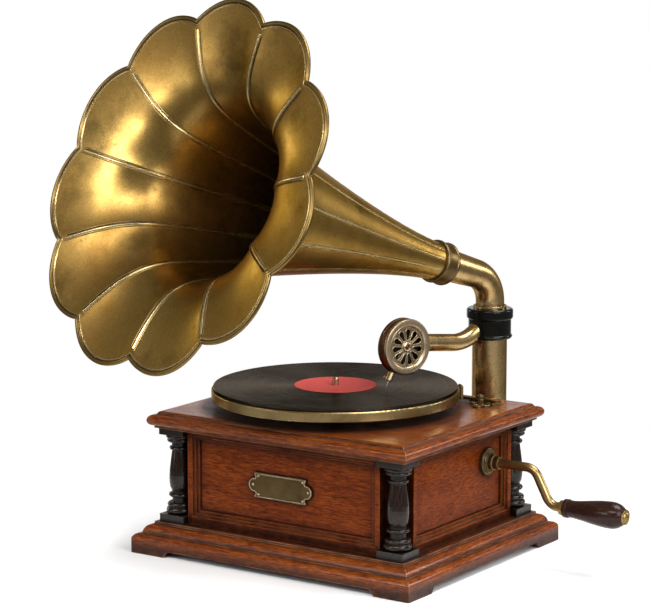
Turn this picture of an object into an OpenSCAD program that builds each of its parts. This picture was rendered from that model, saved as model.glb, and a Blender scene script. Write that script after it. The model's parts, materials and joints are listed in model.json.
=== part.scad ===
// Horn gramophone: wind-up record player with a flower horn, on a panelled cabinet.
// Millimetres, +Z up, +X towards the crank, +Y towards the rear.

/* [Cabinet] */
// Width over the outer faces of the column blocks
body_w = 294; // [260:1:340]
// Depth over the outer faces of the column blocks
body_d = 248; // [225:1:300]
// Height of the base moulding, feet included
base_h = 31.7; // [28:0.1:40]
// Height of the body between the base and the top board
body_h = 97.3; // [92:0.1:120]
// Thickness of the top board
top_t = 17; // [15:0.5:24]
// Reach of the base moulding beyond the column blocks
base_reach = 21; // [18:0.5:28]
// Reach of the top board beyond the column blocks
top_reach = 9; // [7:0.5:14]
// Height of the bracket feet
foot_h = 6.5; // [4:0.5:9]
// Length of each bracket foot along a side
foot_l = 46; // [30:1:60]
// Side of the square column blocks
block = 30; // [28:0.5:34]
// Height of the blocks under the columns
plinth_h = 7.8; // [6:0.1:12]
// Height of the blocks above the columns
capital_h = 7; // [5:0.1:12]
// Setback of the framed sides behind the block faces
frame_setback = 7; // [5:0.5:9]
// Thickness of the framed sides
frame_t = 18; // [16:0.5:20]
// Thickness of the panels in the framed sides
panel_t = 8; // [6:0.5:10]
// Side of the square corner posts
post = 24; // [20:0.5:28]
// Thickness of the bottom board
bottom_t = 10; // [8:0.5:11]

/* [Name plate] */
// Length of the plate over its end lobes
plate_w = 77; // [60:1:100]
// Height of the plate
plate_h = 25.6; // [20:0.1:32]
// Thickness of the plate
plate_t = 1.2; // [0.8:0.1:2]

/* [Turntable] */
// Radius of the platter
platter_r = 127; // [115:0.5:132]
// Height of the platter's rim
platter_h = 10.6; // [8:0.1:14]
// Gap between the top board and the platter
platter_gap = 8.6; // [7:0.1:12]
// Thickness of the felt mat
felt_t = 1; // [0.6:0.1:2]
// Radius of the record
record_r = 125; // [110:0.5:126]
// Thickness of the record
record_t = 2; // [1.5:0.1:3]
// Radius of the record's label
label_r = 42; // [35:0.5:50]
// Radius of the spindle where it stands out of the record
spindle_r = 3.6; // [3.2:0.05:4]
// Height of the spindle above the record
spindle_rise = 8; // [6:0.5:12]
// Place of the spindle from the cabinet's centre
spindle_x = -13; // [-18:1:-8]
// Place of the spindle from the cabinet's centre
spindle_y = -2; // [-6:1:4]

/* [Crank] */
// Distance of the crank behind the middle between spindle and back posts
crank_back = 6.5; // [4:0.5:9]
// Height of the crank's axis above the base moulding
crank_rise = 64.3; // [62:0.1:68]
// Radius of the crank's rod
rod_r = 4.65; // [4:0.05:5]
// Length of the straight rod outside the body
rod_out = 33; // [28:1:45]
// Drop of the crank's throw
crank_throw = 36; // [30:1:60]
// Bend of the crank's throw, in degrees
crank_bend = 62; // [55:1:75]
// Radius of the crank's bends
crank_bend_r = 15; // [12:0.5:16]
// Length of the crank's wooden handle
handle_l = 66; // [55:1:80]
// Radius of the handle at its widest
handle_r = 13.5; // [11:0.5:16]

/* [Pillar] */
// Distance of the pillar from the body's right edge
pillar_inset = 71; // [67:1:77]
// Clear space between the top board and the pillar
pillar_clear = 4.7; // [4:0.1:8]
// Radius of the pillar tube
pillar_r = 18.3; // [17:0.1:20]
// Wall of the pillar tube
pillar_wall = 2; // [1.5:0.1:2.5]
// Height of the pillar's top above the top board
pillar_rise = 57.2; // [54:0.1:70]
// Height of the turning collar on the pillar
collar_h = 20; // [18:0.5:24]
// Height of the fixed socket ring above the collar
socket_h = 11.5; // [9:0.5:15]

/* [Tone arm] */
// Heading of the tone arm from +X, in degrees
arm_heading = 250; // [248:0.5:254]
// Radius of the arm tube
arm_r = 9; // [8.5:0.05:9.3]
// Radius of the arm tube's bore
arm_bore = 7.3; // [6.6:0.05:7.5]
// Fall of the arm where it leaves the collar, in degrees
arm_fall = 36; // [30:1:40]
// Radius of the arm's bend
arm_bend_r = 44; // [40:1:50]
// Rise of the arm's straight run, in degrees
arm_climb = 5.9; // [4:0.1:7]
// Length of the arm's straight run
arm_run = 38; // [34:1:44]
// Length of the crook from the arm's end to the sound box's axis
crook_l = 46; // [44:1:54]
// Radius of the crook's bend
crook_bend_r = 15; // [14:0.5:16]

/* [Sound box] */
// Radius of the sound box
box_r = 28.9; // [27:0.1:32]
// Thickness of the sound box
box_t = 14; // [13:0.1:16]
// Stand-off of the sound box's middle from the arm's axis
box_off = 26; // [25:0.1:29]
// Number of teardrop slots in the face
slot_count = 11; // [9:1:12]

/* [Horn] */
// Heading of the horn from +X, in degrees
horn_heading = 257.6; // [250:0.1:265]
// Tilt of the horn above level, in degrees
horn_tilt = 17.3; // [12:0.1:24]
// Radius of the elbow's bend
elbow_bend_r = 34; // [30:0.5:40]
// Radius of the elbow's tube
elbow_r = 15; // [14.5:0.1:16]
// Length from the elbow's corner to the ferrule
neck_l = 72; // [60:1:80]
// Length of the ferrule
ferrule_l = 18; // [16:0.5:24]
// Length from the elbow's corner to the mouth
horn_l = 441; // [400:1:470]
// Extra tilt of the mouth, in degrees
mouth_bend = 5.4; // [0:0.1:8]
// Radius of the bell at its throat
throat_r = 19.6; // [18.6:0.1:21]
// Radius of the mouth at the notches between the petals
notch_r = 164; // [150:1:175]
// Height of the petals beyond the notches
petal_rise = 16; // [10:1:22]
// Number of petals
petal_count = 11; // [9:1:12]
// Thickness of the bell's sheet
bell_wall = 1.2; // [1:0.1:2]
// Radius of the rolled edge of the bell
roll_r = 2.5; // [1.8:0.1:3]

/* [Motor] */
// Teeth of the barrel's wheel
barrel_teeth = 64; // [60:4:68]
// Teeth of the intermediate pinion
inter_pinion_teeth = 8; // [8:1:9]
// Teeth of the intermediate wheel and of the spindle's wheel
wheel_teeth = 40; // [36:2:42]
// Teeth of the spindle's pinion
spindle_pinion_teeth = 10; // [9:1:12]
// Teeth of the governor's pinion
governor_teeth = 8; // [8:1:9]
// Size of a tooth: pitch diameter for each tooth
tooth = 1.25; // [1.2:0.01:1.28]
// Teeth of the winding crown wheel
crown_teeth = 24; // [22:2:26]
// Teeth of the crank's pinion
crank_pinion_teeth = 12; // [11:1:13]
// Size of a winding tooth: pitch diameter for each tooth
winding_tooth = 1.5; // [1.4:0.05:1.6]

/* [Clearances] */
// Gap of a running fit
run_fit = 0.05; // [0.02:0.01:0.09]
// Gap between pieces that pass each other
pass_gap = 0.3; // [0.2:0.05:0.5]
// Step where a straight pipe is sleeved over a bend
sleeve_step = 0.03; // [0.02:0.01:0.06]

/* [Hidden] */
$fn = 48;
eps = 0.01;
// Length by which a straight pipe laps a bend
pipe_lap = 0.5;

// Colours
mahogany = [0.42, 0.16, 0.08];
ebonised = [0.10, 0.08, 0.07];
antique_brass = [0.62, 0.47, 0.22];
bright_brass = [0.80, 0.66, 0.38];
blackened = [0.13, 0.12, 0.11];
steel = [0.55, 0.55, 0.56];
shellac = [0.06, 0.06, 0.06];
label_red = [0.78, 0.25, 0.24];
felt_green = [0.14, 0.19, 0.13];

// Levels of the cabinet
half_w = body_w / 2;
half_d = body_d / 2;
body_top = base_h + body_h;
board_top = body_top + top_t;

// Rebate of the base that holds the bottom board
rebate = 9;

// Framed sides
front_y = half_d - frame_setback;
side_x = half_w - frame_setback;
notch_gap = 1;
front_frame_w = 2 * (half_w - block - notch_gap);
side_frame_w = 2 * (half_d - block - notch_gap);
stile = 6;
top_rail = 4;
bottom_rail = 9;
step_count = 3;
step_w = 3;
step_d = 2.2;
step_round = 1.3;
panel_lap = 5;
panel_face = step_count * step_d;
post_x = side_x - frame_t;
post_y = front_y - frame_t;

// Columns
column_x = half_w - block / 2;
column_y = half_d - block / 2;
column_z0 = base_h + plinth_h;
column_z1 = body_top - capital_h;
column_h = column_z1 - column_z0;

// Turntable levels
platter_z0 = board_top + platter_gap;
platter_z1 = platter_z0 + platter_h;
felt_z1 = platter_z1 + felt_t;
record_z1 = felt_z1 + record_t;
label_t = 0.15;
record_hole = spindle_r + run_fit;
shaft_r = 5;
spindle_neck = 0.6;

// Motor
motor_plate_t = 3;
motor_z1 = body_top;
motor_z0 = motor_z1 - motor_plate_t;
lower_z1 = base_h + 7.3;
lower_z0 = lower_z1 - 3;
end_float = 0.05;
pivot_r = 2;
barrel_span = 71.4;
crank_y = (spindle_y + post_y) / 2 + crank_back;
barrel_y = crank_y;
barrel_x = spindle_x + sqrt(pow(barrel_span, 2) - pow(barrel_y - spindle_y, 2));
barrel_pitch = barrel_teeth * tooth / 2;
inter_pinion_pitch = inter_pinion_teeth * tooth / 2;
wheel_pitch = wheel_teeth * tooth / 2;
spindle_pinion_pitch = spindle_pinion_teeth * tooth / 2;
governor_pitch = governor_teeth * tooth / 2;
mesh_gap = 0.25;
reach_barrel = barrel_pitch + inter_pinion_pitch + mesh_gap;
reach_spindle = wheel_pitch + spindle_pinion_pitch + mesh_gap;
barrel_bearing = atan2(spindle_y - barrel_y, spindle_x - barrel_x);
inter_swing = acos((pow(reach_barrel, 2) + pow(barrel_span, 2) - pow(reach_spindle, 2))
    / (2 * reach_barrel * barrel_span));
inter_x = barrel_x + reach_barrel * cos(barrel_bearing + inter_swing);
inter_y = barrel_y + reach_barrel * sin(barrel_bearing + inter_swing);
governor_x = spindle_x - wheel_pitch - governor_pitch - mesh_gap;
governor_y = spindle_y;
inter_to_barrel = atan2(barrel_y - inter_y, barrel_x - inter_x);
spindle_to_inter = atan2(inter_y - spindle_y, inter_x - spindle_x);
tooth_w = 4;
barrel_z0 = lower_z1 + 1.2;
barrel_h = 38;
barrel_r = 34;
barrel_wheel_z = barrel_z0 + barrel_h - 8;
inter_drop = 26;
inter_wheel_z = motor_z0 - inter_drop;
spindle_wheel_z = motor_z0 - 14;
spindle_foot_z = lower_z1 + end_float;
crank_z = base_h + crank_rise;
crown_pitch = crown_teeth * winding_tooth / 2;
crank_pinion_pitch = crank_pinion_teeth * winding_tooth / 2;
crown_face = 5;
crown_tip_z = crank_z - crank_pinion_pitch + 0.6 * winding_tooth;
crown_root_z = crank_z - crank_pinion_pitch - 1.4 * winding_tooth;
crown_t = 3;
arbor_r = 4;
plate_side = 65;
plate_front = 46;
plate_x0 = spindle_x - plate_side;
plate_x1 = post_x - post - 4;
plate_y0 = spindle_y - plate_front;
plate_y1 = post_y - 2;
post_spots = [[plate_x0 + 8, plate_y0 + 8], [plate_x0 + 8, plate_y1 - 35],
    [plate_x1 - 10, plate_y0 + 8], [plate_x1 - 10, plate_y1 - 7]];
motor_post_r = 4;
bolt_spots = [[plate_x0 + 26, plate_y0 + 14], [plate_x0 + 26, plate_y1 - 51],
    [plate_x1 - 36, plate_y0 + 14], [plate_x1 - 24, plate_y0 + 70]];
bolt_r = 2;
hanger_x = barrel_x + crown_pitch + 8;
hanger_t = 5;

// Crank
boss_face_x = side_x - panel_face;
boss_l = 16;
rod_inner_x = barrel_x + crown_pitch - crown_face / 2 - 1.5;
rod_bend_x = side_x + rod_out + 7;
crank_slope_l = (crank_throw - 2 * crank_bend_r * (1 - cos(crank_bend))) / sin(crank_bend);
crank_run = 2 * crank_bend_r * sin(crank_bend) + crank_slope_l * cos(crank_bend);
grip_x = rod_bend_x + crank_run + 8;
grip_z = crank_z - crank_throw;
grip_pin_r = 3.5;
cap_l = 4.5;

// Pillar, collar and socket
pillar_x = half_w - pillar_inset;
pillar_y = half_d + top_reach + pillar_clear + pillar_r;
pillar_z0 = base_h + 17;
pillar_z1 = board_top + pillar_rise;
collar_z0 = pillar_z1 + pass_gap / 2;
collar_z1 = collar_z0 + collar_h;
socket_z0 = collar_z1 + pass_gap / 2;
socket_z1 = socket_z0 + socket_h;
sleeve_r = pillar_r - pillar_wall - run_fit;
sleeve_bore = sleeve_r - 2.4;
sleeve_z0 = pillar_z1 - 22;
collar_bore = sleeve_r + run_fit;
collar_r = 22.5;
bracket_w = 46;
bracket_z0 = base_h + 17;
bracket_drop = 19.3;
bracket_z1 = body_top - bracket_drop;
bracket_t = 7;
bracket_face_y = front_y - panel_face;

// Tone arm, in the upright plane through the pillar's axis
port_u = 15;
port_z = collar_z0 + collar_h * 0.56;
arm_lead = 6;
arm_bend_u = port_u + arm_lead * cos(arm_fall);
arm_bend_z = port_z - arm_lead * sin(arm_fall);
run_u = arm_bend_u + arm_bend_r * (sin(arm_fall) + sin(arm_climb));
run_z = arm_bend_z - arm_bend_r * (cos(arm_climb) - cos(arm_fall));
arm_end_u = run_u + arm_run * cos(arm_climb);
arm_end_z = run_z + arm_run * sin(arm_climb);
crook_r = arm_bore - run_fit;
crook_bore = crook_r - 1.4;
crook_seat = 14;
arm_swing_in = 7.5;
arm_swing_out = 36;

// Sound box: local z points out of the face, local y points down
needle_lean = 14;
chuck_angle = 60;
chuck_l = 9;
chuck_r = 3.4;
needle_l = 15;
needle_point = 6;
needle_r = 0.8;
box_wall = 3.4;
box_in_r = box_r - box_wall;
grille_r = 20.5;

// Horn
elbow_turn = 90 - horn_tilt;
elbow_tangent = elbow_bend_r * tan(elbow_turn / 2);
spigot_r = sleeve_bore - run_fit;
elbow_foot = 6.4;
elbow_z = socket_z1 + elbow_foot + elbow_tangent;
elbow_wall = 1.5;
elbow_end_r = elbow_r + 2.3;
ferrule_r = throat_r + 2.9;
bell_s0 = neck_l + 8;
bell_s1 = neck_l + ferrule_l + 2;
// Flare of the bell: a slow curve over its length with a late turn at the lip
slow_share = 0.53;
slow_power = 1.35;
lip_share = 0.038;
bulge_power = 8;
petal_steps = 6;
seam_share = 0.1;
seam_h = 0.9;
bell_rings = 24;

// Middle of the whole object's box, from the crank's end, the horn's mouth and the bracket
tip_r = notch_r + petal_rise + roll_r;
mouth_tilt = horn_tilt + mouth_bend;
mouth_x = pillar_x + horn_l * cos(horn_tilt) * cos(horn_heading);
mouth_y = pillar_y + horn_l * cos(horn_tilt) * sin(horn_heading);
far_left = mouth_x - tip_r * sqrt(1 - pow(cos(mouth_tilt) * cos(horn_heading), 2));
far_right = grip_x + handle_l + cap_l;
far_front = mouth_y - tip_r * sqrt(1 - pow(cos(mouth_tilt) * sin(horn_heading), 2));
far_back = pillar_y + pillar_r + 5;
origin_x = (far_left + far_right) / 2;
origin_y = (far_front + far_back) / 2;

// Shared shapes

module place() {
    translate([-origin_x, -origin_y, 0]) children();
}

module tube(r_out, r_in, h) {
    difference() {
        cylinder(r = r_out, h = h);
        translate([0, 0, -1]) cylinder(r = r_in, h = h + 2);
    }
}

// Rectangular moulding with mitred corners; children draws its half section for a half width
module mitred(w, d, kind) {
    intersection() {
        rotate([90, 0, 0]) linear_extrude(height = 2 * d, center = true) moulding_section(w / 2, kind);
        rotate([90, 0, 90]) linear_extrude(height = 2 * w, center = true) moulding_section(d / 2, kind);
    }
}

module band(half, z0, z1) {
    translate([-half, z0]) square([2 * half, z1 - z0]);
}

module both_sides(x, z) {
    for (side = [-1, 1]) translate([side * x, z]) children();
}

module moulding_section(half, kind) {
    if (kind == "base") base_section(half);
    if (kind == "top") top_section(half);
}

module base_section(half) {
    ledge = 3.8;
    fillet_h = 2.5;
    ovolo_r = 9.2;
    nose_r = 6.2;
    shelf_z = base_h - fillet_h - ovolo_r;
    shelf = base_reach - nose_r;
    nose_z = shelf_z - nose_r;
    band(half + ledge, 0, base_h);
    both_sides(half + shelf - 2 - ovolo_r, shelf_z) circle(r = ovolo_r);
    band(half + shelf - 2, 0, shelf_z);
    band(half + shelf, 0, shelf_z);
    both_sides(half + shelf, nose_z) circle(r = nose_r);
    band(half + base_reach, 0, nose_z);
}

module top_section(half) {
    nose_r = 5.7;
    nose_z = body_top + 8;
    cove_r = 3.2;
    band(half + top_reach - nose_r, body_top, board_top - cove_r);
    both_sides(half + top_reach - nose_r, nose_z) circle(r = nose_r);
    both_sides(half - 2, board_top - cove_r) circle(r = cove_r);
    band(half - 2, body_top, board_top);
}

// Straight-sided gear outline with a tooth at the given phase
module gear(teeth, size, phase) {
    pitch_r = teeth * size / 2;
    pitch_a = 360 / teeth;
    outer = pitch_r + 0.8 * size;
    root = pitch_r - 1.15 * size;
    polygon([for (i = [0 : teeth - 1], k = [[-0.27, root], [-0.1, outer], [0.1, outer], [0.27, root]])
        let (a = phase + (i + k[0]) * pitch_a) [k[1] * cos(a), k[1] * sin(a)]]);
}

module spur(teeth, size, phase, h, bore) {
    linear_extrude(height = h) difference() {
        gear(teeth, size, phase);
        circle(r = bore);
    }
}

// Cabinet

module foot_cut(length) {
    half = length / 2 - foot_l;
    rotate([90, 0, 0]) linear_extrude(height = 2 * body_w + 2 * body_d, center = true)
        polygon([[-half - foot_h, -1], [-half, foot_h], [half, foot_h], [half + foot_h, -1]]);
}

module base_moulding() {
    lip = 15;
    color(mahogany) place() difference() {
        mitred(body_w, body_d, "base");
        translate([0, 0, base_h - bottom_t / 2 + 1])
            cube([body_w - 2 * rebate, body_d - 2 * rebate, bottom_t + 2], center = true);
        translate([0, 0, base_h / 2])
            cube([body_w - 2 * lip, body_d - 2 * lip, base_h + 2], center = true);
        foot_cut(body_w + 2 * base_reach);
        rotate([0, 0, 90]) foot_cut(body_d + 2 * base_reach);
    }
}

module bottom_board() {
    color(mahogany) place() translate([0, 0, base_h - bottom_t / 2])
        cube([body_w - 2 * rebate, body_d - 2 * rebate, bottom_t], center = true);
}

// Frame of a side: its opening narrows in steps to a rebate that holds the panel
module framed_side(w) {
    open_w = w - 2 * stile;
    open_h = body_h - top_rail - bottom_rail;
    open_z = bottom_rail + open_h / 2;
    inner = 2 * (step_count - 1) * step_w - 2 * panel_lap;
    difference() {
        translate([-w / 2, 0, 0]) cube([w, frame_t, body_h]);
        translate([0, 0, open_z]) intersection() {
            linear_extrude(height = 2 * body_h, center = true) step_section(open_w / 2);
            rotate([0, 90, 0]) linear_extrude(height = 2 * w, center = true) step_section(open_h / 2);
        }
        translate([-(open_w - inner) / 2, panel_face, open_z - (open_h - inner) / 2])
            cube([open_w - inner, frame_t, open_h - inner]);
    }
}

// Section of the opening across its depth, each step with a rounded edge
module step_section(half) {
    for (i = [0 : step_count - 1]) {
        edge = half - i * step_w;
        start = i * step_d;
        lead = i == 0 ? 1 : eps;
        finish = i == step_count - 1 ? panel_face + 1 : start + step_d;
        translate([-edge, start - lead]) square([2 * edge, finish - start + lead]);
        for (side = [0, 1]) mirror([side, 0]) translate([edge - eps, start]) difference() {
            square(step_round);
            translate([step_round, step_round]) circle(r = step_round);
        }
    }
}

module side_panel(w) {
    open_w = w - 2 * stile;
    open_h = body_h - top_rail - bottom_rail;
    inner = 2 * (step_count - 1) * step_w - 2 * panel_lap;
    translate([-(open_w - inner) / 2, panel_face, bottom_rail + open_h / 2 - (open_h - inner) / 2])
        cube([open_w - inner, panel_t, open_h - inner]);
}

module at_front() { translate([0, -front_y, base_h]) children(); }
module at_back() { rotate([0, 0, 180]) translate([0, -front_y, base_h]) children(); }
module at_left() { rotate([0, 0, -90]) translate([0, -side_x, base_h]) children(); }
module at_right() { rotate([0, 0, 90]) translate([0, -side_x, base_h]) children(); }

module front_frame() { color(mahogany) place() at_front() framed_side(front_frame_w); }
module back_frame() { color(mahogany) place() at_back() framed_side(front_frame_w); }
module left_frame() { color(mahogany) place() at_left() framed_side(side_frame_w); }
module right_frame() { color(mahogany) place() at_right() framed_side(side_frame_w); }

module front_panel() {
    color(mahogany) place() difference() {
        at_front() side_panel(front_frame_w);
        plate_pins(1, run_fit);
    }
}

module back_panel() {
    color(mahogany) place() difference() {
        at_back() side_panel(front_frame_w);
        bracket_screw_set(run_fit);
    }
}

module left_panel() { color(mahogany) place() at_left() side_panel(side_frame_w); }

module right_panel() {
    color(mahogany) place() difference() {
        at_right() side_panel(side_frame_w);
        translate([0, crank_y, crank_z]) rotate([0, 90, 0]) cylinder(r = rod_r + 1, h = body_w);
    }
}

module post_shape() {
    translate([post_x - post, post_y - post, base_h]) cube([post, post, body_h]);
}

module four_corners() {
    for (i = [0, 1], j = [0, 1]) mirror([i, 0, 0]) mirror([0, j, 0]) children();
}

module corner_posts() { color(mahogany) place() four_corners() post_shape(); }

module column_blocks() {
    color(ebonised) place() four_corners() for (level = [[base_h, plinth_h], [column_z1, capital_h]])
        difference() {
            translate([column_x - block / 2, column_y - block / 2, level[0]]) cube([block, block, level[1]]);
            post_shape();
        }
}

// Turned column: rings and necks as circles and bars of a half section
module column_section() {
    shaft_z0 = 0.28 * column_h;
    shaft_z1 = 0.79 * column_h;
    ring = [[3.6, 3.6, 14.2], [9.4, 2.6, 13.1], [0.235 * column_h, 2.2, 11.6],
        [0.825 * column_h, 1.9, 10.6], [column_h - 6.2, 2, 12.9], [column_h - 2.2, 2.2, 14]];
    intersection() {
        translate([0, 0]) square([block, column_h]);
        union() {
            square([8, column_h]);
            for (k = ring) {
                translate([k[2] - k[1], k[0]]) circle(r = k[1]);
                translate([0, k[0] - k[1]]) square([k[2] - k[1], 2 * k[1]]);
            }
            polygon(concat([[0, shaft_z0]],
                [for (t = [0 : 0.1 : 1])
                    [8.2 + 2.9 * sin(180 * pow(t, 0.62)) - 0.2 * t, shaft_z0 + t * (shaft_z1 - shaft_z0)]],
                [[0, shaft_z1]]));
        }
    }
}

module column(side_x_sign, side_y_sign) {
    color(ebonised) place() translate([side_x_sign * column_x, side_y_sign * column_y, column_z0])
        rotate_extrude() column_section();
}

module column_front_left() { column(-1, -1); }
module column_front_right() { column(1, -1); }
module column_back_left() { column(-1, 1); }
module column_back_right() { column(1, 1); }

module top_board() {
    color(mahogany) place() difference() {
        mitred(body_w, body_d, "top");
        translate([spindle_x, spindle_y, body_top - 1]) cylinder(r = shaft_r + 4, h = top_t + 2);
        motor_bolt_set(run_fit);
        brake_pin_set(run_fit);
    }
}

// Name plate

plate_x = -5;
plate_z = base_h + bottom_rail + (body_h - top_rail - bottom_rail) / 2 - 1;
plate_lobe_r = plate_h * 0.28;
plate_flat = plate_w - 2 * plate_lobe_r;
plate_bite = plate_h * 0.2;
plate_rim = 1.4;
pin_r = 0.9;

module plate_outline(inset) {
    lobe = plate_lobe_r - inset;
    difference() {
        union() {
            square([plate_flat - 2 * inset, plate_h - 2 * inset], center = true);
            for (side = [-1, 1]) translate([side * plate_flat / 2, 0]) circle(r = lobe);
        }
        for (i = [-1, 1], j = [-1, 1])
            translate([i * (plate_flat / 2 + 1.2), j * plate_h * 0.36]) circle(r = plate_bite / 2 + inset);
    }
}

module at_plate() {
    translate([plate_x, -front_y + panel_face, plate_z]) rotate([90, 0, 0]) children();
}

plate_pin_spots = [for (i = [-1, 1]) [i * (plate_flat / 2 + plate_lobe_r * 0.3), 0],
    for (i = [-1, 1], j = [-1, 1]) [i * (plate_flat / 2 - 4.4), j * (plate_h / 2 - 3.2)]];

module plate_pins(head, extra) {
    at_plate() for (spot = plate_pin_spots) translate([spot[0], spot[1], -5]) {
        cylinder(r = pin_r + extra, h = 5 + plate_t);
        if (head == 0) translate([0, 0, 5 + plate_t]) intersection() {
            translate([0, 0, -0.7]) sphere(r = 1.7);
            translate([-3, -3, 0]) cube([6, 6, 3]);
        }
    }
}

module name_plate() {
    color(antique_brass) place() difference() {
        at_plate() {
            linear_extrude(height = plate_t) plate_outline(0);
            linear_extrude(height = plate_t + 0.7) difference() {
                plate_outline(0);
                plate_outline(plate_rim);
            }
        }
        plate_pins(1, run_fit);
    }
}

module name_plate_pins() { color(bright_brass) place() plate_pins(0, 0); }

// Crank and its bearing in the side

module along_crank(x) { translate([x, crank_y, crank_z]) rotate([0, 90, 0]) children(); }

module crank_escutcheon() {
    color(antique_brass) place() along_crank(boss_face_x) difference() {
        union() {
            cylinder(r = 13.5, h = 3);
            translate([0, 0, 3]) rotate_extrude() translate([9.4, 0]) circle(r = 1.8);
            cylinder(r = 11, h = 5);
            cylinder(r = 8, h = 10);
            cylinder(r = 6.6, h = boss_l);
        }
        translate([0, 0, -1]) cylinder(r = rod_r + run_fit, h = boss_l + 2);
    }
}

// Bent rod in the upright plane of the crank, drawn in its own x and z
module bent_rod(r) {
    translate([rod_inner_x, 0, 0]) rotate([0, 90, 0])
        cylinder(r = r + sleeve_step, h = rod_bend_x - rod_inner_x + pipe_lap);
    translate([rod_bend_x, 0, -crank_bend_r]) rotate([90, 0, 0]) rotate([0, 0, 90 - crank_bend])
        rotate_extrude(angle = crank_bend) translate([crank_bend_r, 0]) circle(r = r);
    slope_x = rod_bend_x + crank_bend_r * sin(crank_bend);
    slope_z = -crank_bend_r * (1 - cos(crank_bend));
    translate([slope_x, 0, slope_z]) rotate([0, 90 + crank_bend, 0]) translate([0, 0, -pipe_lap])
        cylinder(r = r + sleeve_step, h = crank_slope_l + 2 * pipe_lap);
    translate([rod_bend_x + crank_run, 0, crank_bend_r - crank_throw]) rotate([90, 0, 0])
        rotate([0, 0, -90 - crank_bend]) rotate_extrude(angle = crank_bend)
            translate([crank_bend_r, 0]) circle(r = r);
    translate([rod_bend_x + crank_run - pipe_lap, 0, -crank_throw]) rotate([0, 90, 0])
        cylinder(r = r + sleeve_step, h = grip_x - pass_gap - rod_bend_x - crank_run + pipe_lap);
}

module crank_rod() {
    color(antique_brass) place() translate([0, crank_y, crank_z]) {
        bent_rod(rod_r - sleeve_step);
        translate([grip_x - 5, 0, -crank_throw]) rotate([0, 90, 0]) cylinder(r = 7.4, h = 5 - pass_gap);
        translate([grip_x - 1, 0, -crank_throw]) rotate([0, 90, 0]) {
            cylinder(r = grip_pin_r, h = handle_l + 2);
            translate([0, 0, handle_l + 1 + pass_gap]) cylinder(r = 7.6, h = 1.6);
            translate([0, 0, handle_l + 2.6 + pass_gap]) intersection() {
                translate([0, 0, -4.8]) sphere(r = 7.6);
                cylinder(r = 9, h = 6);
            }
        }
    }
}

module crank_pinion() {
    color(steel) place() along_crank(barrel_x + crown_pitch - crown_face / 2)
        spur(crank_pinion_teeth, winding_tooth, 0, crown_face, rod_r + run_fit / 2);
}

module handle_section() {
    waist = 8.6;
    difference() {
        union() {
            translate([0, 0]) square([9.5, 4]);
            polygon(concat([[0, 4], [waist, 4]],
                [for (t = [0 : 0.1 : 1])
                    [waist + (handle_r - waist) * pow(sin(90 * t), 1.6), 6 + t * handle_l * 0.69]],
                [for (t = [0.15 : 0.17 : 1])
                    [handle_r - 5.4 * pow(t, 2.4), 6 + handle_l * (0.69 + 0.21 * t)]],
                [[0, 6 + handle_l * 0.9]]));
            square([8.1, handle_l]);
        }
        translate([0, -1]) square([grip_pin_r + run_fit, handle_l + 2]);
        translate([0, handle_l]) square([handle_r + 1, handle_l]);
    }
}

module crank_handle() {
    color([0.2, 0.09, 0.07]) place() translate([grip_x, crank_y, grip_z]) rotate([0, 90, 0])
        rotate_extrude() handle_section();
}

// Motor under the top board

module at_spot(spot, z) { translate([spot[0], spot[1], z]) children(); }

module motor_outline() {
    translate([plate_x0, plate_y0]) square([plate_x1 - plate_x0, plate_y1 - plate_y0]);
}

module pivot_holes(extra) {
    for (spot = [[inter_x, inter_y], [governor_x, governor_y]]) translate(spot) circle(r = pivot_r + extra);
    translate([barrel_x, barrel_y]) circle(r = pivot_r + 1 + extra);
}

module motor_bolt_set(extra) {
    for (spot = bolt_spots) at_spot(spot, motor_z0) {
        cylinder(r = bolt_r + extra, h = top_t + motor_plate_t + eps);
        if (extra == 0) translate([0, 0, top_t + motor_plate_t]) difference() {
            cylinder(r = 4, h = 2.4);
            translate([-5, -0.5, 1.4]) cube([10, 1, 2]);
        }
    }
}

module motor_bolts() { color(steel) place() motor_bolt_set(0); }

module motor_plate() {
    color(blackened) place() difference() {
        union() {
            translate([0, 0, motor_z0]) linear_extrude(height = motor_plate_t) difference() {
                motor_outline();
                translate([spindle_x, spindle_y]) circle(r = shaft_r + 4);
                pivot_holes(run_fit);
                for (spot = post_spots) translate(spot) circle(r = pivot_r + run_fit);
            }
            translate([hanger_x, crank_y - 9, crank_z - 9]) cube([hanger_t, 18, motor_z0 - crank_z + 9 + eps]);
        }
        along_crank(hanger_x - 1) cylinder(r = rod_r + run_fit, h = hanger_t + 2);
        motor_bolt_set(run_fit);
    }
}

module lower_plate() {
    color(blackened) place() translate([0, 0, lower_z0]) linear_extrude(height = lower_z1 - lower_z0)
        difference() {
            motor_outline();
            pivot_holes(run_fit);
            for (spot = post_spots) translate(spot) circle(r = pivot_r + run_fit);
        }
}

module motor_posts() {
    color(steel) place() for (spot = post_spots) {
        at_spot(spot, lower_z1) cylinder(r = motor_post_r, h = motor_z0 - lower_z1);
        at_spot(spot, lower_z0) cylinder(r = pivot_r, h = motor_z1 - lower_z0);
        at_spot(spot, base_h) cylinder(r = motor_post_r, h = lower_z0 - base_h);
    }
}

module spindle_bearing() {
    color(bright_brass) place() translate([spindle_x, spindle_y, 0]) {
        difference() {
            union() {
                translate([0, 0, motor_z0]) cylinder(r = shaft_r + 4 - run_fit, h = board_top - motor_z0);
                translate([0, 0, board_top]) cylinder(r = shaft_r + 7, h = 2);
            }
            translate([0, 0, motor_z0 - 1]) cylinder(r = shaft_r + run_fit, h = top_t + motor_plate_t + 4);
        }
    }
}

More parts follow.
